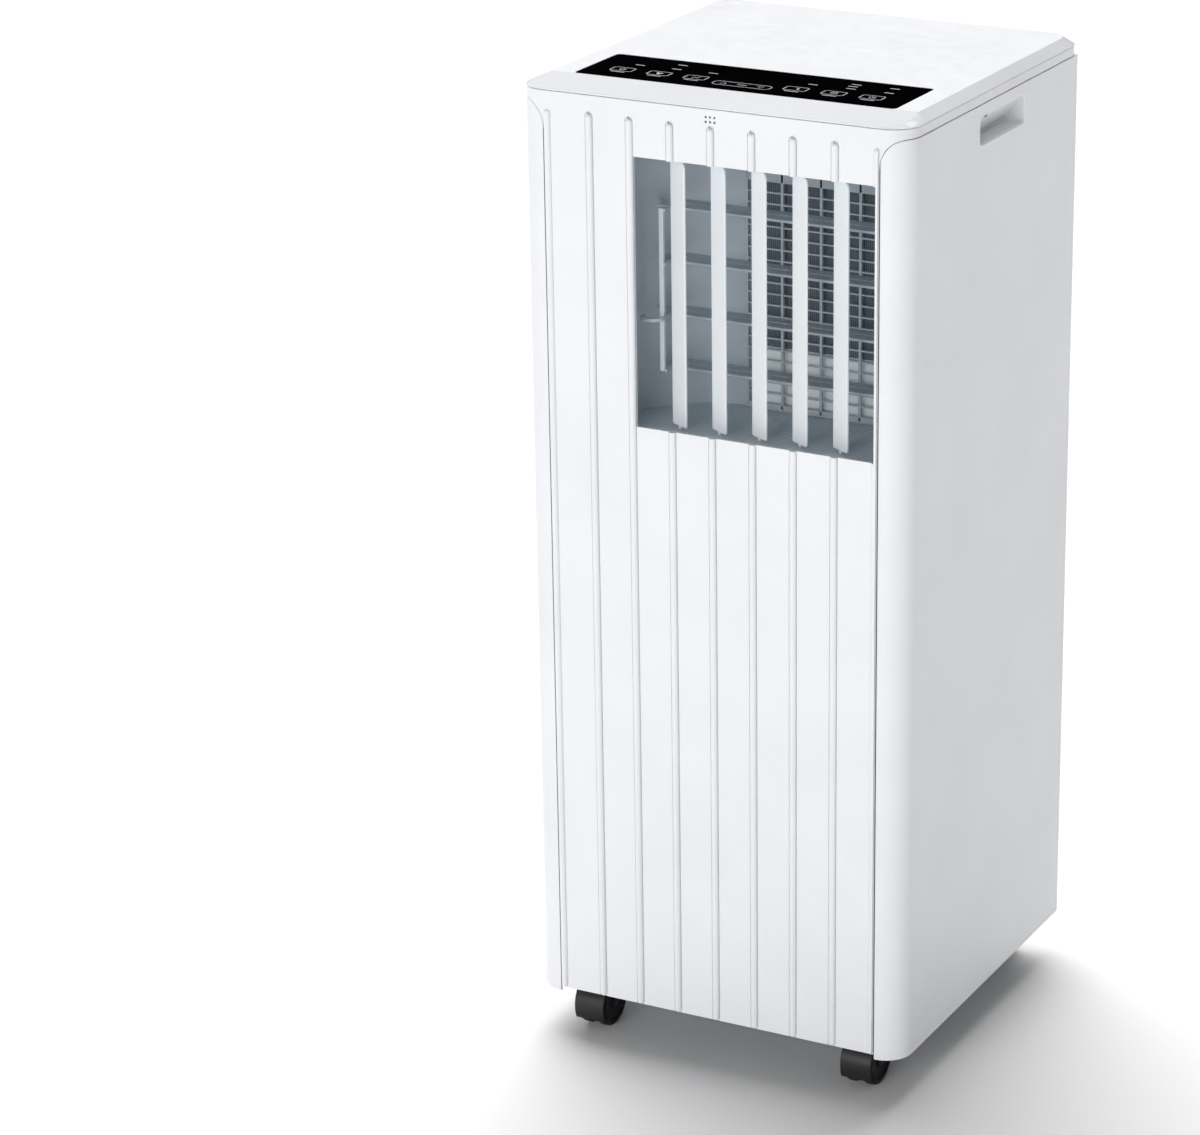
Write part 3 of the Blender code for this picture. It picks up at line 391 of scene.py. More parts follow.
def inset(outline, distance):
    """The outline moved inwards, each corner along its bisector."""
    count = len(outline)
    area = 0.0
    for i, (u, v) in enumerate(outline):
        next_u, next_v = outline[(i + 1) % count]
        area += u * next_v - next_u * v
    side = 1 if area > 0 else -1
    moved = []
    for i, here in enumerate(outline):
        before = Vector(here) - Vector(outline[i - 1])
        after = Vector(outline[(i + 1) % count]) - Vector(here)
        first = Vector((-before.y, before.x)).normalized() * side
        second = Vector((-after.y, after.x)).normalized() * side
        bisector = (first + second).normalized()
        reach = distance / max(bisector.dot(first), 0.4)
        moved.append(tuple(Vector(here) + bisector * reach))
    return moved


def along(axis, u, v, w):
    return {"X": (w, u, v), "Y": (u, w, v), "Z": (u, v, w)}[axis]


# ---------------------------------------------------------------- solids, added to a bmesh


def skin(made, rings, ends=True, around=False):
    """Faces between rings of equal length: capped at both ends, or joined last to first."""
    layers = [[made.verts.new(point) for point in ring] for ring in rings]
    pairs = list(zip(layers, layers[1:]))
    if around:
        pairs.append((layers[-1], layers[0]))
    for low, high in pairs:
        for k in range(len(low)):
            after = (k + 1) % len(low)
            made.faces.new((low[k], low[after], high[after], high[k]))
    if ends and not around:
        made.faces.new(layers[0][::-1])
        made.faces.new(layers[-1])


def prism(made, outline, low, high, axis):
    """An extruded outline with sharp rims."""
    skin(made, [[along(axis, u, v, w) for u, v in outline] for w in (low, high)])


def rounding(edge, steps=3):
    """Steps round a rim, from the end face to the side: how far in from the side, and from the end."""
    turns = [math.pi / 2 * k / steps for k in range(steps + 1)]
    return [(edge * (1 - math.sin(turn)), edge * (1 - math.cos(turn))) for turn in turns]


def slab(made, outline, low, high, axis="Z", edge=0.5, steps=3):
    """An extruded outline whose two rims are rounded over."""
    rim = rounding(edge, steps)
    rings = [(aside, low + d) for aside, d in rim]
    rings += [(aside, high - d) for aside, d in reversed(rim)]
    skin(made, [[along(axis, u, v, w) for u, v in inset(outline, d)] for d, w in rings])


def tube(made, outer, inner, low, high, axis="Z", edge=0.5):
    """A ring between two outlines of equal length, its four rims rounded over."""
    rim = rounding(edge)
    rings = [(inset(outer, aside), low + d) for aside, d in rim]
    rings += [(inset(outer, aside), high - d) for aside, d in reversed(rim)]
    rings += [(inset(inner, -aside), high - d) for aside, d in rim]
    rings += [(inset(inner, -aside), low + d) for aside, d in reversed(rim)]
    skin(made, [[along(axis, u, v, w) for u, v in ring] for ring, w in rings], around=True)


def turned(made, profile, centre, axis, sides=48):
    """A solid of revolution from (radius, height) pairs."""
    rings = []
    for radius, height in profile:
        ring = circle(*centre, max(radius, 0.02), sides)
        rings.append([along(axis, u, v, height) for u, v in ring])
    skin(made, rings)


def bar(made, xs, ys, zs, edge=0.4):
    """A straight bar with rounded edges and corners."""
    radius = min(edge, (xs[1] - xs[0]) / 2.1, (ys[1] - ys[0]) / 2.1)
    slab(made, round_box(*xs, *ys, radius, 2), *zs, "Z", min(edge, (zs[1] - zs[0]) / 2.1), 2)


# ---------------------------------------------------------------- pieces


def to_object(name, made, look="white_shell"):
    bmesh.ops.remove_doubles(made, verts=made.verts, dist=0.0005)
    bmesh.ops.recalc_face_normals(made, faces=made.faces)
    bmesh.ops.scale(made, vec=(MM, MM, MM), verts=made.verts)
    mesh = bpy.data.meshes.new(name)
    made.to_mesh(mesh)
    made.free()
    mesh.materials.append(LOOKS[look])
    placed = bpy.data.objects.new(name, mesh)
    bpy.context.scene.collection.objects.link(placed)
    return placed


def carve(target, tool):
    """Cuts the tool out of the target and removes the tool."""
    change = target.modifiers.new("cut", "BOOLEAN")
    change.operation = "DIFFERENCE"
    change.solver = "EXACT"
    change.object = tool
    evaluated = target.evaluated_get(bpy.context.evaluated_depsgraph_get())
    mesh = bpy.data.meshes.new_from_object(evaluated)
    target.modifiers.clear()
    target.data = mesh
    bpy.data.objects.remove(tool, do_unlink=True)


def absorb(target, other):
    """Adds the other object's mesh to the target's, with no cut between them."""
    gathered = bmesh.new()
    gathered.from_mesh(target.data)
    gathered.from_mesh(other.data)
    gathered.to_mesh(target.data)
    gathered.free()
    bpy.data.objects.remove(other, do_unlink=True)


def soften(placed, width):
    """Rounds the hard edges that a carving left."""
    change = placed.modifiers.new("soft_edges", "BEVEL")
    change.width = width * MM
    change.segments = 2
    change.limit_method = "ANGLE"
    change.angle_limit = math.radians(50)


def settle(placed, body, replaces=(), smooth=33):
    """Shades the piece and hands it to its body."""
    placed.data.shade_smooth()
    placed.data.set_sharp_from_angle(angle=math.radians(smooth))
    even = placed.modifiers.new("even_shading", "WEIGHTED_NORMAL")
    even.keep_sharp = True
    even.weight = 80
    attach(placed, body)
    if replaces:
        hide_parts(*replaces)
    return placed


def piece(name, made, body, slot, replaces=(), look=None, smooth=33):
    return settle(to_object(name, made, look or slot), body, replaces, smooth)


# ---------------------------------------------------------------- casing


def wall(made, path, thick, low, high, edge, closed=False):
    """An upright wall along a path of (point, inward direction, pinch), its rims rounded."""
    sections = []
    for point, inward, pinch in path:
        outer, inner = pinch, thick - pinch
        bottom, top = low(point) + pinch, high(point) - pinch
        rim = rounding(edge)
        profile = [(outer + aside, bottom + d) for aside, d in rim]
        profile += [(outer + aside, top - d) for aside, d in reversed(rim)]
        profile += [(inner - aside, top - d) for aside, d in rim]
        profile += [(inner - aside, bottom + d) for aside, d in reversed(rim)]
        sections.append([(*(point + inward * depth), z) for depth, z in profile])
    skin(made, sections, ends=not closed, around=closed)


def rounded_end(path, edge, at_start):
    """Adds stations that pinch the wall to a rounded end."""
    point, inward, _ = path[0] if at_start else path[-1]
    beside, _, _ = path[1] if at_start else path[-2]
    onward = (beside - point).normalized()
    stations = [(point + onward * d, inward, aside) for aside, d in rounding(edge)]
    return stations + path[1:] if at_start else path[:-1] + stations[::-1]


def corner_path(centre_x, centre_y, radius, start, end, steps):
    """Stations round a corner, their inward direction towards its centre."""
    centre = Vector((centre_x, centre_y))
    stations = []
    for u, v in arc(centre_x, centre_y, radius, start, end, steps):
        point = Vector((u, v))
        stations.append((point, (centre - point).normalized(), 0.0))
    return stations


def mirror_path(path):
    """The same stations on the left, in the opposite order."""
    flip = Vector((-1, 1))
    return [(point * flip, inward * flip, pinch) for point, inward, pinch in reversed(path)]


def cutaway_height(point, play):
    """The swept line from the front seam up to the side panel's top edge."""
    across = (SEAM_HALF + CUTAWAY_WIDTH - abs(point.x)) / (CUTAWAY_WIDTH + play)
    if point.y > FRONT + FRONT_RADIUS or across <= 0:
        return SIDE_TOP + play
    rise = math.sqrt(max(0.0, 1 - across * across))
    return SIDE_TOP - CUTAWAY_DROP + (CUTAWAY_DROP + play) * rise


def side_panel(name, sign):
    """The tall side shell with its swept corner and its finger pocket."""
    radius = FRONT_RADIUS
    towards_back = Vector((0, 1))
    path = [(Vector((SEAM_HALF + d, FRONT)), towards_back, 0.0) for d in (0.45, 0.8, 0.9)]
    path += corner_path(HALF - radius, FRONT + radius, radius, 270, 360, 24)
    path += corner_path(HALF - BACK_RADIUS, BACK - BACK_RADIUS, BACK_RADIUS, 0, 90, 10)
    path += [(Vector((SIDE_RETURN, BACK)), -towards_back, 0.0)]
    path = rounded_end(path, 0.25, True)
    path = rounded_end(path, 0.5, False)
    if sign < 0:
        path = mirror_path(path)
    made = bmesh.new()
    wall(made, path, WALL - GAP, lambda p: GROUND_CLEARANCE, lambda p: cutaway_height(p, 0.0), 0.6)
    panel = to_object(name, made)
    tool = bmesh.new()
    mouth = round_box(*POCKET_Y, *POCKET_Z, POCKET_CORNER)
    prism(tool, mouth, *sorted((sign * (HALF - 6), sign * (HALF + 3))), "X")
    carve(panel, to_object(name + "_mouth", tool))
    absorb(panel, pocket_liner(name, sign, mouth))
    pocket_dent_shade(name, sign)
    return settle(panel, "cabinet", [name])


def pocket_liner(name, sign, mouth):
    """The pocket's rounded lip, straight walls and a back wall that slopes down to a deep ledge."""
    made = bmesh.new()
    edge = 0.9
    rings = []
    for aside, d in rounding(edge):
        outline = inset(mouth, d)
        rings.append([(HALF - edge + aside, u, v) for u, v in outline])
    low, high = POCKET_Z
    deep, shallow = POCKET_DEPTHS
    for rise in (1.2, 0.5, 0.0):
        outline = inset(mouth, edge + 1.2 - rise)
        ring = []
        for u, v in outline:
            depth = deep + (shallow - deep) * (v - low) / (high - low)
            ring.append((HALF - depth + rise, u, v))
        rings.append(ring)
    rings = [[(sign * x, y, z) for x, y, z in ring] for ring in rings]
    layers = [[made.verts.new(point) for point in ring] for ring in rings]
    for outer, inner in zip(layers, layers[1:]):
        for k in range(len(outer)):
            after = (k + 1) % len(outer)
            made.faces.new((outer[k], outer[after], inner[after], inner[k]))
    made.faces.new(layers[-1])
    liner = to_object(name + "_liner", made)
    faces = liner.data.polygons
    outward = sum(face.normal.x * sign > 0 for face in faces)
    if outward * 2 < len(faces):
        liner.data.flip_normals()
    return liner


def pocket_dent_shade(name, sign):
    """A small dark-grey stud just under the top edge of the pocket: its dark grey is painted shade for
    a small dent there.
    """
    made = bmesh.new()
    profile = ((DENT_SHADE_RADIUS, 3.4), (DENT_SHADE_RADIUS, 0.7), (DENT_SHADE_RADIUS - 0.3, 0.4), (0.0, 0.3))
    places = [(r, sign * (HALF - depth)) for r, depth in profile]
    turned(made, places, DENT_SHADE_AT, "X", 24)
    piece(name + "_dent_shade", made, "cabinet", "white_shell", look="mid_grey")


def band_path():
    """The closed plan path of the front panel and the band under the lid."""
    towards_back = Vector((0, 1))
    seam = SEAM_HALF - GAP
    start = BAND_HALF - FRONT_RADIUS
    steps = (-0.01, 0.0, 0.1, 0.25, 0.5)
    right = [(Vector((seam + d, FRONT)), towards_back, 0.0) for d in steps]
    right += corner_path(start, FRONT + FRONT_RADIUS, FRONT_RADIUS, 270, 360, 24)
    back = LID_BACK_RADIUS
    right += corner_path(BAND_HALF - back, BACK - back, back, 0, 90, 12)
    return right + mirror_path(right)


def front_foot(point):
    """How low the front panel reaches at this place on its path."""
    on_front = point.y < FRONT + 0.5 * FRONT_RADIUS
    if on_front and abs(point.x) < SEAM_HALF - GAP - 0.005:
        return FRONT_BOTTOM
    return cutaway_height(point, GAP)


def bead(made, x, widths=(BEAD_HALF_WIDTH, BEAD_HALF_WIDTH), square=False):
    """A rounded bead with domed ends. A square one is a lip that stays flat on the right."""
    reach = 2.2
    low, high = FRONT_BOTTOM + 0.3, BEAD_TOP - BEAD_SHORTER
    dome = [(d * reach, max(0.05, 1 - aside)) for aside, d in rounding(1.0, 4)]
    levels = [(low + d, size) for d, size in dome]
    levels += [(high - d, size) for d, size in reversed(dome)]
    rings = []
    for z, size in levels:
        ring = [(x - widths[0], FRONT + BEAD_ROOT, z)]
        for k in range(-7, 8):
            across = k / 7
            flat = square and across > 0
            rise = 1.0 if flat else max(0.0, math.cos(math.pi / 2 * across)) ** 0.5
            shift = widths[across > 0] * size * across
            ring.append((x + shift, FRONT + 0.05 - (BEAD_RISE + 0.05) * size * rise, z))
        ring.append((x + widths[1], FRONT + BEAD_ROOT, z))
        rings.append(ring)
    skin(made, rings)


def front_beads():
    """Seven evenly spaced beads, one at the left edge and a lip at the right edge."""
    made = bmesh.new()
    bead(made, -SEAM_HALF + GAP + 0.1 + BEAD_HALF_WIDTH)
    bead(made, SEAM_HALF - GAP - 1.4, (BEAD_HALF_WIDTH, 1.2), square=True)
    for x in BEAD_PLACES:
        bead(made, x)
    beads = to_object("front_beads", made)
    carve(beads, front_tool("bead_window", []))
    return beads


def front_tool(name, eyes):
    """The cutter of the outlet window and of round holes at the given places."""
    made = bmesh.new()
    outlines = [round_box(*WINDOW_X, *WINDOW_Z, 0.8, 3)]
    outlines += [circle(x, z, EYE_RADIUS, 16) for x, z in eyes]
    for outline in outlines:
        prism(made, outline, FRONT - 3, FRONT + 3.5, "Y")
    return to_object(name, made)


def groove_tool():
    """The cutter of the fine grooves that the beads stand in."""
    made = bmesh.new()
    reach = BEAD_HALF_WIDTH + GROOVE_WIDTH
    for x in BEAD_PLACES:
        ends = (FRONT_BOTTOM - 3, BEAD_TOP + GROOVE_WIDTH)
        outline = round_box(x - reach, x + reach, *ends, reach - 0.05)
        prism(made, outline, FRONT - 1, FRONT + GROOVE_DEPTH, "Y")
    return to_object("bead_grooves", made)


def notch_tool():
    """The cutter of the small notches at the tops of the beads."""
    made = bmesh.new()
    for x in BEAD_PLACES:
        outline = circle(x, BEAD_TOP - NOTCH_DROP, NOTCH_RADIUS, 20)
        prism(made, outline, FRONT - 1, FRONT + NOTCH_DEPTH, "Y")
    return to_object("bead_notches", made)


def front_panel():
    """The panel and the band under the lid, with the receiver's two rows of three holes."""
    made = bmesh.new()
    wall(made, band_path(), WALL, front_foot, lambda p: LID_SEAM, 0.5, closed=True)
    panel = to_object("front_panel_shell", made)
    eyes = [(BEAD_MIDDLE + k * EYE_PITCH, row) for row in EYE_ROWS for k in (-1, 0, 1)]
    carve(panel, front_tool("front_holes", eyes))
    carve(panel, groove_tool())
    carve(panel, notch_tool())
    absorb(panel, front_beads())
    return settle(panel, "cabinet", ["front_panel"])


def seam_shade_strips():
    """Black strips set behind the upright seams beside the front panel: a dark sheet painted in as the
    shade in those seams.
    """
    for name, sign in (("left", -1), ("right", 1)):
        xs = sorted(sign * (SEAM_HALF + reach) for reach in (-GAP + 0.02, 0.5))
        made = bmesh.new()
        bar(made, xs, (FRONT + 0.7, FRONT + 1.9), (FRONT_BOTTOM + 1, SIDE_TOP - CUTAWAY_DROP), 0.1)
        piece(f"{name}_seam_shade_strip", made, "cabinet", "black_plastic")


def lid_outline(half, front, back, front_radius, back_radius):
    """A plan outline with stations along its sides, so that every ring has the same count."""
    side = [(half, min(max(y, front + front_radius), back - back_radius)) for y in LID_STATIONS]
    right = arc(half - front_radius, front + front_radius, front_radius, 270, 360, 14)
    right += side
    right += arc(half - back_radius, back - back_radius, back_radius, 0, 90, 12)
    return right + [(-x, y) for x, y in reversed(right)]


def lid_height(y, height):
    """The height of the lid, kept under the apron that slopes down to the front."""
    slope = (LID_TOP - LID_SEAM - 1.3) / (LID_CREASE - FRONT + 2)
    apron = LID_TOP + (y - LID_CREASE) * slope
    middle, apart = (height + apron) / 2, (height - apron) / 2
    return middle - math.hypot(apart, 0.08) if y < LID_CREASE + 12 else height


def lid():
    """The flat lid: sides chamfered, front sloping down from the bed of the control strip."""
    rings = []
    foot = LID_SEAM + GAP
    shoulder = LID_SEAM + 1.0
    for d, z in ((0.5, foot), (0.15, foot + 0.15), (0.0, foot + 0.4), (0.0, shoulder)):
        outline = lid_outline(HALF - d, FRONT + d, BACK - d, FRONT_RADIUS, LID_BACK_RADIUS)
        rings.append([(x, y, z) for x, y in outline])
    for share in (0.04, 0.12, 0.5, 0.9, 0.97, 1.0):
        half, front, back = HALF - LID_INSET * share, FRONT + 1.5 * share, BACK - 0.5 * share
        outline = lid_outline(half, front, back, FRONT_RADIUS, LID_BACK_RADIUS)
        z = shoulder + (LID_TOP - shoulder) * share
        rings.append([(x, y, lid_height(y, z)) for x, y in outline])
    half, front, back = HALF - LID_INSET, FRONT + 1.5, BACK - 0.5
    for d in LID_STEPS:
        radii = (max(FRONT_RADIUS - d, 0.05), max(LID_BACK_RADIUS - d, 0.05))
        outline = lid_outline(half - d, front + d, back - d, *radii)
        rings.append([(x, y, lid_height(y, LID_TOP)) for x, y in outline])
    made = bmesh.new()
    skin(made, rings)
    plate = to_object("lid_shell", made)
    bed = bmesh.new()
    wide = (STRIP_LOW.x - GAP, STRIP_HIGH.x + GAP)
    deep = (STRIP_LOW.y - GAP, STRIP_HIGH.y + GAP)
    prism(bed, round_box(*wide, *deep, STRIP_RADIUS + GAP), STRIP_LOW.z - GAP, LID_TOP + 2, "Z")
    carve(plate, to_object("strip_bed", bed))
    placed = settle(plate, "cabinet", ["lid"], smooth=28)
    paint_slope_shade(placed)
    return placed


def paint_slope_shade(placed):
    """Paints shade onto the lid's slopes: darker copies of the white stand in for the shade there,
    most of all at the sides.
    """
    for look in ("chamfer_painted_shade", "apron_painted_shade"):
        placed.data.materials.append(LOOKS[look])
    # Faces of the sloping sides take the darker painted shade, faces of the sloping front the lighter
    # one.
    for face in placed.data.polygons:
        if abs(face.normal.x) > 0.3 and face.normal.z > 0.4:
            face.material_index = 1
        elif face.normal.y < -0.03 and face.normal.z > 0.4:
            face.material_index = 2


# ---------------------------------------------------------------- control strip


def ribbon(made, points, width, z, closed=True):
    """A flat printed line through the points."""
    count = len(points)
    left, right = [], []
    for i, here in enumerate(points):
        before = Vector(points[i - 1]) if closed or i else Vector(here)
        after = Vector(points[(i + 1) % count]) if closed or i < count - 1 else Vector(here)
        course = (after - before).normalized()
        side = Vector((-course.y, course.x)) * width / 2
        left.append(made.verts.new((*(Vector(here) + side), z)))
        right.append(made.verts.new((*(Vector(here) - side), z)))
    for i in range(count if closed else count - 1):
        after = (i + 1) % count
        made.faces.new((left[i], right[i], right[after], left[after]))


def patch(made, outline, z):
    made.faces.new([made.verts.new((u, v, z)) for u, v in outline])


def dash(made, x, y, z, half, thick):
    """A short flat printed bar."""
    low, high = y - thick / 2, y + thick / 2
    patch(made, [(x - half, low), (x + half, low), (x + half, high), (x - half, high)], z)


def key_frame(made, x, y, z, width, depth, clip):
    """The outline of a touch key, its corners clipped."""
    wide, deep = (x - width / 2, x + width / 2), (y - depth / 2, y + depth / 2)
    ribbon(made, round_box(*wide, *deep, clip, steps=1), 0.55, z)


def power_icon(made, x, y, z):
    ribbon(made, arc(x, y, 2.0, 130, 410, 14), 0.5, z, closed=False)
    ribbon(made, [(x, y + 0.4), (x, y + 2.6)], 0.5, z, closed=False)


def timer_icon(made, x, y, z):
    ribbon(made, circle(x, y, 2.1, 18), 0.45, z)
    ribbon(made, [(x, y + 1.3), (x, y), (x + 1.1, y - 0.5)], 0.4, z, closed=False)


def fan_icon(made, x, y, z):
    for u, v in arc(x, y, 1.5, 30, 270, 2):
        patch(made, circle(u, v, 1.05, 12), z)
    patch(made, circle(x, y, 0.6, 10), z + 0.01)


def moon_icon(made, x, y, z):
    outer = arc(x, y, 2.2, -60, 150, 12)
    inner = arc(x - 0.9, y + 0.6, 1.75, 128, -38, 12)
    patch(made, outer + inner, z)


def mode_icon(made, x, y, z):
    wave = [(x - 2.6, y - 1.6), (x - 0.8, y + 1.2), (x + 0.8, y - 1.0), (x + 2.6, y + 1.6)]
    ribbon(made, wave, 0.5, z, closed=False)


def swing_icon(made, x, y, z):
    for k in (-1, 0, 1):
        ribbon(made, [(x + 1.9 * k, y - 1.9), (x + 1.9 * k, y + 1.9)], 0.55, z, closed=False)
    ribbon(made, [(x - 2.6, y + 2.3), (x + 2.6, y + 2.3)], 0.4, z, closed=False)


def arrow_icon(made, x, y, z, up):
    corners = [(x - 2.2, y - 1.4 * up), (x + 2.2, y - 1.4 * up), (x, y + 1.7 * up)]
    ribbon(made, corners, 0.5, z)


def key_x(index):
    """The middle of each key: three at the left, a wide one in the centre, three at the right."""
    if index == 3:
        return CENTRE_KEY_X
    return (index - 3) * KEY_PITCH + KEY_SHIFTS[index > 3]


def key_print(index, icon, z):
    """A key's frame and symbol with a plain bar in front. The wide centre key has two arrows."""
    x = key_x(index)
    made = bmesh.new()
    if icon:
        key_frame(made, x, KEY_ROW, z, KEY_WIDTH, KEY_DEPTH, KEY_CLIP)
        icon(made, x, KEY_ROW, z)
        dash(made, x, LABEL_ROW, z, LABEL_HALF, 0.9)
    else:
        y = CENTRE_KEY_ROW
        key_frame(made, x, y, z, CENTRE_KEY_WIDTH, KEY_DEPTH, CENTRE_KEY_CLIP)
        arrow_icon(made, x - ARROW_SHIFT, y, z, 1)
        arrow_icon(made, x + ARROW_SHIFT, y, z, -1)
        dash(made, x, y, z, DASH_HALF, 0.8)
    piece(f"key_print_{index + 1}", made, "cabinet", "pale_grey", look="key_print")


def indicator_dashes(z):
    """The row of indicators behind the keys, and a few more behind that row."""
    made = bmesh.new()
    for index in (0, 1, 2, 4, 5, 6):
        dash(made, key_x(index) + DASH_SHIFT, DASH_ROW, z, DASH_HALF, 1.0)
    for index, rise in FAR_DASHES:
        dash(made, key_x(index) + FAR_DASH_SHIFT, DASH_ROW + rise, z, DASH_HALF, 1.0)
    piece("indicator_dashes", made, "cabinet", "pale_grey", look="key_print")


def control_strip():
    """The black glass with its printed keys and indicators."""
    glass_top = STRIP_HIGH.z - 0.12
    made = bmesh.new()
    outline = round_box(STRIP_LOW.x, STRIP_HIGH.x, STRIP_LOW.y, STRIP_HIGH.y, STRIP_RADIUS)
    slab(made, outline, STRIP_LOW.z, glass_top, "Z", 0.25)
    piece("control_strip_glass", made, "cabinet", "control_glass", ["control_strip"])
    icons = (power_icon, fan_icon, mode_icon, None, moon_icon, swing_icon, timer_icon)
    for index, icon in enumerate(icons):
        key_print(index, icon, glass_top + 0.05)
    indicator_dashes(glass_top + 0.05)


# ---------------------------------------------------------------- outlet


def joint_axis(name):
    return Vector(JOINTS[name]["pos_m"]) / MM


def vane(index):
    """An upright vane: rounded long edges, a broad round at its top front corner, and its pins."""
    node = f"vane_{index}"
    axis = joint_axis(f"{node}_turn")
    low, high = VANE_Z
    half = VANE_CHORD / 2
    outline = [(-half, low + 1.0), (-half + 1.0, low), (half - 1.0, low), (half, low + 1.0)]
    outline += [(half, high - 1.0), (half - 1.0, high)]
    outline += arc(-half + BROAD_CORNER, high - BROAD_CORNER, BROAD_CORNER, 90, 180, 8)
    made = bmesh.new()
    slab(made, outline, -VANE_THICK / 2, VANE_THICK / 2, "X", 0.6)
    for end, root in ((DUCT_FLOOR + GAP, low + 0.5), (DUCT_CEILING - GAP, high - 0.5)):
        turned(made, [(0, end), (1.2, end), (1.2, root), (0, root)], (0, 0), "Z", 20)
    swing = Matrix.Rotation(-VANE_ANGLE, 3, "Z")
    bmesh.ops.rotate(made, cent=(0, 0, 0), matrix=swing, verts=made.verts)
    bmesh.ops.translate(made, vec=(axis.x, axis.y, 0), verts=made.verts)
    piece(f"upright_{node}", made, node, "vane_white", [node])


def tie_bar(kind, edge):
    """The bar that ties the vanes or the blades together."""
    link = f"{kind}_link"
    low, high = box_mm(link)
    made = bmesh.new()
    bar(made, (low.x, high.x), (low.y, high.y), (low.z, high.z), edge)
    piece(f"{kind}_tie_bar", made, link, "vane_white", [link])


def blade(index):
    """A level blade with rounded edges on an axle with three hubs, and its arm beside the link."""
    node = f"blade_{index}"
    low, high = box_mm(node)
    axis = joint_axis(f"{node}_tilt")
    left, right = BLADE_X
    y, z = axis.y, axis.z
    half = high.y - y
    plan = [(left, y - half), (right, y - half), (right, y + half)]
    plan += [(left + 13, y + half), (left, y + 2)]
    made = bmesh.new()
    slab(made, plan, z - BLADE_THICK / 2, z + BLADE_THICK / 2, "Z", 0.7)
    turned(made, [(0, low.x), (1.4, low.x), (1.4, high.x), (0, high.x)], (y, z), "X", 20)
    for x in (left + 14, 27.0, right - 6):
        turned(made, [(0, x), (1.9, x), (1.9, x + 4), (0, x + 4)], (y, z), "X", 20)
    blade_arm(made, y - half + 1, low.y, z)
    piece(f"level_{node}", made, node, "pale_grey", [node])


def blade_arm(made, root, reach, z):
    """The arm beside the link. Where it reaches far forward it ends in a hooked finger tab."""
    x = box_mm("blade_link")[1].x + GAP + ARM_HALF
    pin = joint_axis("blade_link_pivot").y
    if reach > pin - 4:
        bar(made, (x - ARM_HALF, x + ARM_HALF), (pin - 2, root), (z - 1.2, z + 1.2), 0.4)
        return
    centre = (x - TAB_RADIUS, pin - 4)
    outer = [(x + ARM_HALF, root)]
    outer += [(u - 0.5, v) for u, v in arc(*centre, TAB_RADIUS + 1.3, 0, -180, 24)]
    inner = [(x - ARM_HALF, root)]
    inner += [(u + 0.5, v) for u, v in arc(*centre, TAB_RADIUS - 1.3, 0, -180, 24)]
    slab(made, outer + inner[::-1], z - 1.2, z + 1.2, "Z", 0.5)


def outlet_guard():
    """Fine level bars on a few upright ones, in a frame that is broad at the top."""
    left, front, low = GUARD_LOW
    right, back, high = GUARD_HIGH
    made = bmesh.new()
    for xs in ((left, left + 2), (right - 2, right)):
        bar(made, xs, (front, back), (low, high), 0.35)
    for zs in ((low, low + GUARD_EDGE), (high - GUARD_BROAD_TOP, high)):
        bar(made, (left + 1, right - 1), (front, back), zs, 0.35)
    for z in GUARD_LEVELS:
        level = (z - GUARD_BAR_HALF, z + GUARD_BAR_HALF)
        bar(made, (left + 1, right - 1), (front + 0.2, back - 0.3), level, 0.35)
    for x in GUARD_UPRIGHTS:
        bar(made, (x - 1.0, x + 1.0), (front, back), (low + 1, high - 1), 0.35)
    piece("outlet_guard_bars", made, "cabinet", "pale_grey", ["outlet_guard"])


def outlet_screen():
    """The finned screen behind the guard, pale at its foot."""
    low, high = box_mm("outlet_screen")
    foot = low.z + SCREEN_FOOT
    made = bmesh.new()
    bar(made, (low.x, high.x), (low.y, high.y), (foot, high.z), 0.3)
    piece("screen_fins", made, "cabinet", "filter_mesh", ["outlet_screen"], look="screen_slate")
    made = bmesh.new()
    bar(made, (low.x, high.x), (low.y, high.y), (low.z, foot - GAP), 0.3)
    piece("screen_foot", made, "cabinet", "filter_mesh", look="screen_white")


def duct_plan(grow):
    """The duct's plan: straight on the right, a quarter scroll on the left."""
    left = DUCT_LOW.x + DUCT_WALL
    depth = DUCT_HIGH.y - DUCT_WALL
    centre_x, centre_y = left + SCROLL_RADIUS, depth - SCROLL_RADIUS
    front = FRONT + WALL + GAP
    plan = [(DUCT_RIGHT + grow, depth + grow)]
    plan += arc(centre_x, centre_y, SCROLL_RADIUS + grow, 90, 180, 24)
    plan += [(left - grow, front), (DUCT_RIGHT + grow, front)]
    return plan


def air_duct():
    """The outlet chamber: ridged floor, ceiling, scroll wall on the left, throat at the guard."""
    outer, inner = duct_plan(DUCT_WALL), duct_plan(0.0)
    made = bmesh.new()
    prism(made, outer, DUCT_LOW.z, DUCT_FLOOR, "Z")
    piece("outlet_floor", made, "cabinet", "mid_grey", look="duct_ridges")
    made = bmesh.new()
    prism(made, outer, DUCT_CEILING, DUCT_HIGH.z, "Z")
    low, high = DUCT_FLOOR - 1, DUCT_CEILING + 1
    rings = []
    for outside, inside in zip(outer[1:-1], inner[1:-1]):
        rings.append([(*outside, low), (*inside, low), (*inside, high), (*outside, high)])
    skin(made, rings)
    back = (DUCT_HIGH.y - DUCT_WALL, DUCT_HIGH.y)
    bar(made, (DUCT_RIGHT, DUCT_RIGHT + DUCT_WALL), (FRONT + WALL + GAP, back[1]), (low, high), 0.2)
    bar(made, (GUARD_LOW.x, GUARD_LOW.x + 2.5), back, (low, high), 0.2)
    piece("outlet_chamber", made, "cabinet", "mid_grey", ["air_duct"], look="duct_grey")


# ---------------------------------------------------------------- back


def hole(made, centre, radius):
    """A round cutter through the back."""
    prism(made, circle(*centre, radius, 64), BACK - 6, BACK + 4, "Y")


def middle_of(node):
    """The centre of a node across the back, and half its width."""
    low, high = box_mm(node)
    return ((low.x + high.x) / 2, (low.z + high.z) / 2), (high.x - low.x) / 2


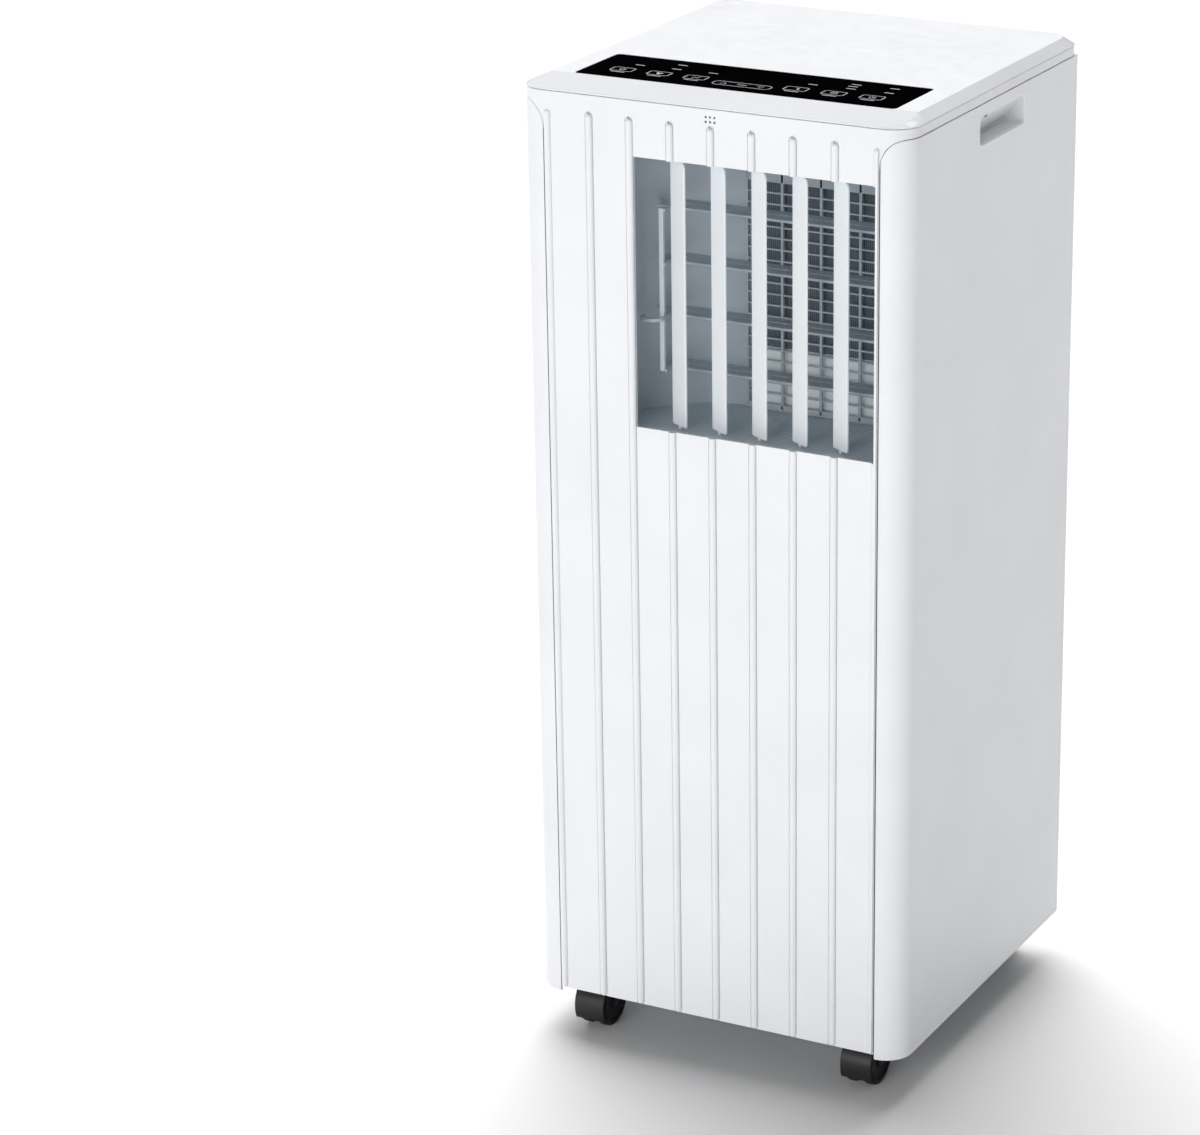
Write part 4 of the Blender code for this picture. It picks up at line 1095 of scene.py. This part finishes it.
def rear_panel():
    """The back, with soft-edged openings for the grilles, the collar, the drains and the cord."""
    low, high = box_mm("rear_panel")
    made = bmesh.new()
    slab(made, round_box(low.x, high.x, low.z, high.z, 1.0, 3), low.y, high.y, "Y", 0.5)
    panel = to_object("rear_panel_shell", made)
    tool = bmesh.new()
    for name in ("upper_grille", "lower_grille"):
        edge_low, edge_high = box_mm(name)
        wide = (edge_low.x - GAP, edge_high.x + GAP)
        tall = (edge_low.z - GAP, edge_high.z + GAP)
        prism(tool, round_box(*wide, *tall, 0.8, 3), BACK - 6, BACK + 4, "Y")
    collar, flange = middle_of("exhaust_collar")
    hole(tool, collar, flange - COLLAR_FLANGE + GAP)
    for name in ("upper_drain_plug", "lower_drain_plug", "cord_gland"):
        place, rim = middle_of(name)
        hole(tool, place, rim - STOPPER_RIM + GAP)
    carve(panel, to_object("rear_openings", tool))
    soften(panel, 0.4)
    return settle(panel, "cabinet", ["rear_panel"])


def grille(name):
    """A pull-off grille: a frame, two uprights and fine level louvres."""
    low, high = box_mm(name)
    outer = round_box(low.x, high.x, low.z, high.z, 2.0)
    inner = round_box(low.x + 4, high.x - 4, low.z + 4, high.z - 4, 1.5)
    made = bmesh.new()
    tube(made, outer, inner, low.y, high.y, "Y", 0.6)
    third = (high.x - low.x - 4) / 3
    for k in (1, 2):
        x = low.x + 2 + k * third
        bar(made, (x - 2, x + 2), (low.y + 0.3, high.y - 0.3), (low.z + 3, high.z - 3), 0.5)
    count = round((high.z - low.z - 8) / 6)
    for k in range(1, count):
        z = low.z + 4 + k * (high.z - low.z - 8) / count
        bar(made, (low.x + 3, high.x - 3), (low.y + 0.6, high.y - 0.6), (z - 1.0, z + 1.0), 0.4)
    piece(f"{name}_louvres", made, name, "white_shell", [name])


def exhaust_collar():
    """The hose spigot, with two locking ridges round it and a screwed flange."""
    low, high = box_mm("exhaust_collar")
    centre, flange = middle_of("exhaust_collar")
    sleeve = flange - COLLAR_FLANGE
    made = bmesh.new()
    bore = circle(*centre, sleeve - COLLAR_WALL, 96)
    tube(made, circle(*centre, sleeve, 96), bore, low.y, high.y, "Y", 0.8)
    rim, inside = circle(*centre, flange, 96), circle(*centre, sleeve - 1, 96)
    tube(made, rim, inside, BACK + GAP, BACK + GAP + 3, "Y", 0.8)
    for step in (4.0, 8.0):
        ridge, seat = circle(*centre, sleeve + 1.2, 96), circle(*centre, sleeve - 1, 96)
        tube(made, ridge, seat, high.y - step, high.y - step + 1.4, "Y", 0.5)
    top = BACK + GAP + 3
    dome = [(0, top - 0.5), (2.6, top - 0.5), (2.6, top + 0.3), (2.0, top + 0.9)]
    dome += [(1.1, top + 1.0), (0.9, top + 0.4), (0, top + 0.4)]
    for head in arc(*centre, flange - 3.6, 45, 315, 3):
        turned(made, dome, head, "Y", 24)
    piece("hose_collar", made, "cabinet", "white_shell", ["exhaust_collar"])


def drain_plug(name):
    """A rubber plug: a stem with a tapered tip, a soft rim and a grip across its face."""
    low, high = box_mm(name)
    centre, rim = middle_of(name)
    stem = rim - STOPPER_RIM
    profile = [(0, low.y), (stem - 1.5, low.y), (stem, low.y + 2), (stem, BACK + GAP)]
    profile += [(rim - 0.6, BACK + GAP), (rim, BACK + GAP + 0.6), (rim, high.y - 2.2)]
    profile += [(rim - 0.5, high.y - 1.7), (rim - 3, high.y - 1.4), (0, high.y - 1.4)]
    made = bmesh.new()
    turned(made, profile, centre, "Y")
    wide, tall = (centre[0] - 6, centre[0] + 6), (centre[1] - 1.2, centre[1] + 1.2)
    bar(made, wide, (high.y - 2.0, high.y), tall, 0.6)
    piece(f"{name}_rubber", made, name, "rubber", [name])


def cord_gland():
    """The grommet for the cord, its lip rounded."""
    low, high = box_mm("cord_gland")
    centre, rim = middle_of("cord_gland")
    made = bmesh.new()
    tube(made, circle(*centre, rim - STOPPER_RIM), circle(*centre, 3.8), low.y, high.y, "Y", 0.6)
    tube(made, circle(*centre, rim), circle(*centre, 5.0), BACK + GAP, BACK + 3, "Y", 0.8)
    piece("gland_rubber", made, "cabinet", "black_plastic", ["cord_gland"])


# ---------------------------------------------------------------- casters


def caster_hood(index):
    """The swivelling hood: a curved fender, the web between the wheels, and the stem."""
    node = f"caster_hood_{index}"
    low, high = box_mm(node)
    wheel_low, wheel_high = box_mm(f"caster_wheels_{index}")
    x, y = (wheel_low.x + wheel_high.x) / 2, (wheel_low.y + wheel_high.y) / 2
    z = radius = (wheel_high.z - wheel_low.z) / 2
    outer = radius + FENDER_REACH
    web = (x - CASTER_WEB_HALF, x + CASTER_WEB_HALF)
    made = bmesh.new()
    fender = arc(y, z, outer, 35, 205, 40) + arc(y, z, radius + 0.8, 205, 35, 40)
    slab(made, fender, low.x, high.x, "X", 0.85, 4)
    slab(made, circle(y, z, 14.0), *web, "X", 0.6)
    bar(made, web, (y - 8, y + 9), (z + 2, z + outer - 0.6), 0.5)
    stem_y = joint_axis(f"caster_{index}_swivel").y
    foot = z + outer - 3
    profile = [(0, foot), (4, foot), (4, high.z - 3.2), (3.4, high.z - 2.8), (3.4, high.z - 2.0)]
    profile += [(4, high.z - 1.6), (3.6, high.z - 0.4), (3.0, high.z), (0, high.z)]
    turned(made, profile, (x, stem_y), "Z", 32)
    piece(f"hood_{index}", made, f"caster_{index}", "black_plastic", [node])


def caster_wheels(index):
    """Two wheels on an axle: round-shouldered treads, dished faces and small hub caps."""
    node = f"caster_wheels_{index}"
    low, high = box_mm(node)
    x, y = (low.x + high.x) / 2, (low.y + high.y) / 2
    z = radius = (high.z - low.z) / 2
    made = bmesh.new()
    turned(made, [(0, x - 8), (2, x - 8), (2, x + 8), (0, x + 8)], (y, z), "X", 24)
    for sign in (-1, 1):
        inner = x + sign * 3.2
        outer = high.x if sign > 0 else low.x
        profile = [(0, inner), (radius - 1.4, inner), (radius - 0.4, inner + 0.4 * sign)]
        profile += [(radius, inner + 1.4 * sign), (radius, outer - 2.4 * sign)]
        profile += [(radius - 0.5, outer - sign), (radius - 1.6, outer - 0.2 * sign)]
        profile += [(radius - 2.8, outer), (13.8, outer), (13.2, outer - 0.9 * sign)]
        profile += [(5.4, outer - 1.5 * sign), (5.0, outer - 0.6 * sign)]
        profile += [(4.4, outer - 0.2 * sign), (0, outer - 0.1 * sign)]
        turned(made, profile, (y, z), "X", 56)
    piece(f"wheels_{index}", made, node, "wheel_black", [node])


# ---------------------------------------------------------------- stage


def world():
    made = bpy.data.worlds.new("soft_white")
    made.use_nodes = True
    sky = made.node_tree.nodes["Background"]
    sky.inputs["Color"].default_value = (1.0, 1.0, 1.0, 1)
    sky.inputs["Strength"].default_value = 0.2
    bpy.context.scene.world = made


def sun(name, direction, strength, spread_degrees):
    """A wide soft light that shines along the direction."""
    data = bpy.data.lights.new(name, "SUN")
    data.energy = strength
    data.angle = math.radians(spread_degrees)
    placed = bpy.data.objects.new(name, data)
    placed.rotation_euler = Vector(direction).to_track_quat("-Z", "Y").to_euler()
    bpy.context.scene.collection.objects.link(placed)


def floor():
    made = bmesh.new()
    size = 40000.0
    corners = ((-size, -size), (size, -size), (size, size), (-size, size))
    made.faces.new([made.verts.new((x, y, 0)) for x, y in corners])
    bmesh.ops.scale(made, vec=(MM, MM, MM), verts=made.verts)
    mesh = bpy.data.meshes.new("floor")
    made.to_mesh(mesh)
    made.free()
    paper, tree, shader = start_material("floor_paper")
    shader.inputs["Roughness"].default_value = 0.9
    shader.inputs["Specular IOR Level"].default_value = 0.0
    tint(tree, shader, noise(tree, 400), (0.97, 0.97, 0.97), (0.985, 0.985, 0.985))
    mesh.materials.append(paper)
    placed = bpy.data.objects.new("floor", mesh)
    bpy.context.scene.collection.objects.link(placed)


def camera():
    data = bpy.data.cameras.new("camera")
    data.lens = 121.92
    data.sensor_width = 36
    data.shift_x = -0.1604
    data.clip_end = 200
    placed = bpy.data.objects.new("camera", data)
    placed.location = (1.1539, -2.3823, 1.2836)
    placed.rotation_euler = (math.radians(90 - 20.031), 0, math.radians(26.076))
    bpy.context.scene.collection.objects.link(placed)
    bpy.context.scene.camera = placed


def stage():
    world()
    sun("overhead", (0.38, -0.6, -1.0), 3.3, 60)
    sun("front", (0.02, 1.0, -0.03), 2.7, 50)
    floor()
    camera()
    bpy.context.scene.view_settings.view_transform = "Standard"


dress_cad_nodes()
front_panel()
seam_shade_strips()
side_panel("right_side_panel", 1)
side_panel("left_side_panel", -1)
lid()
control_strip()
for number in range(1, 6):
    vane(number)
tie_bar("vane", 0.5)
for number in range(1, 5):
    blade(number)
tie_bar("blade", 0.6)
outlet_guard()
outlet_screen()
air_duct()
rear_panel()
for grille_name in ("upper_grille", "lower_grille"):
    grille(grille_name)
exhaust_collar()
for plug_name in ("upper_drain_plug", "lower_drain_plug"):
    drain_plug(plug_name)
cord_gland()
for number in range(1, 5):
    caster_hood(number)
    caster_wheels(number)
stage()
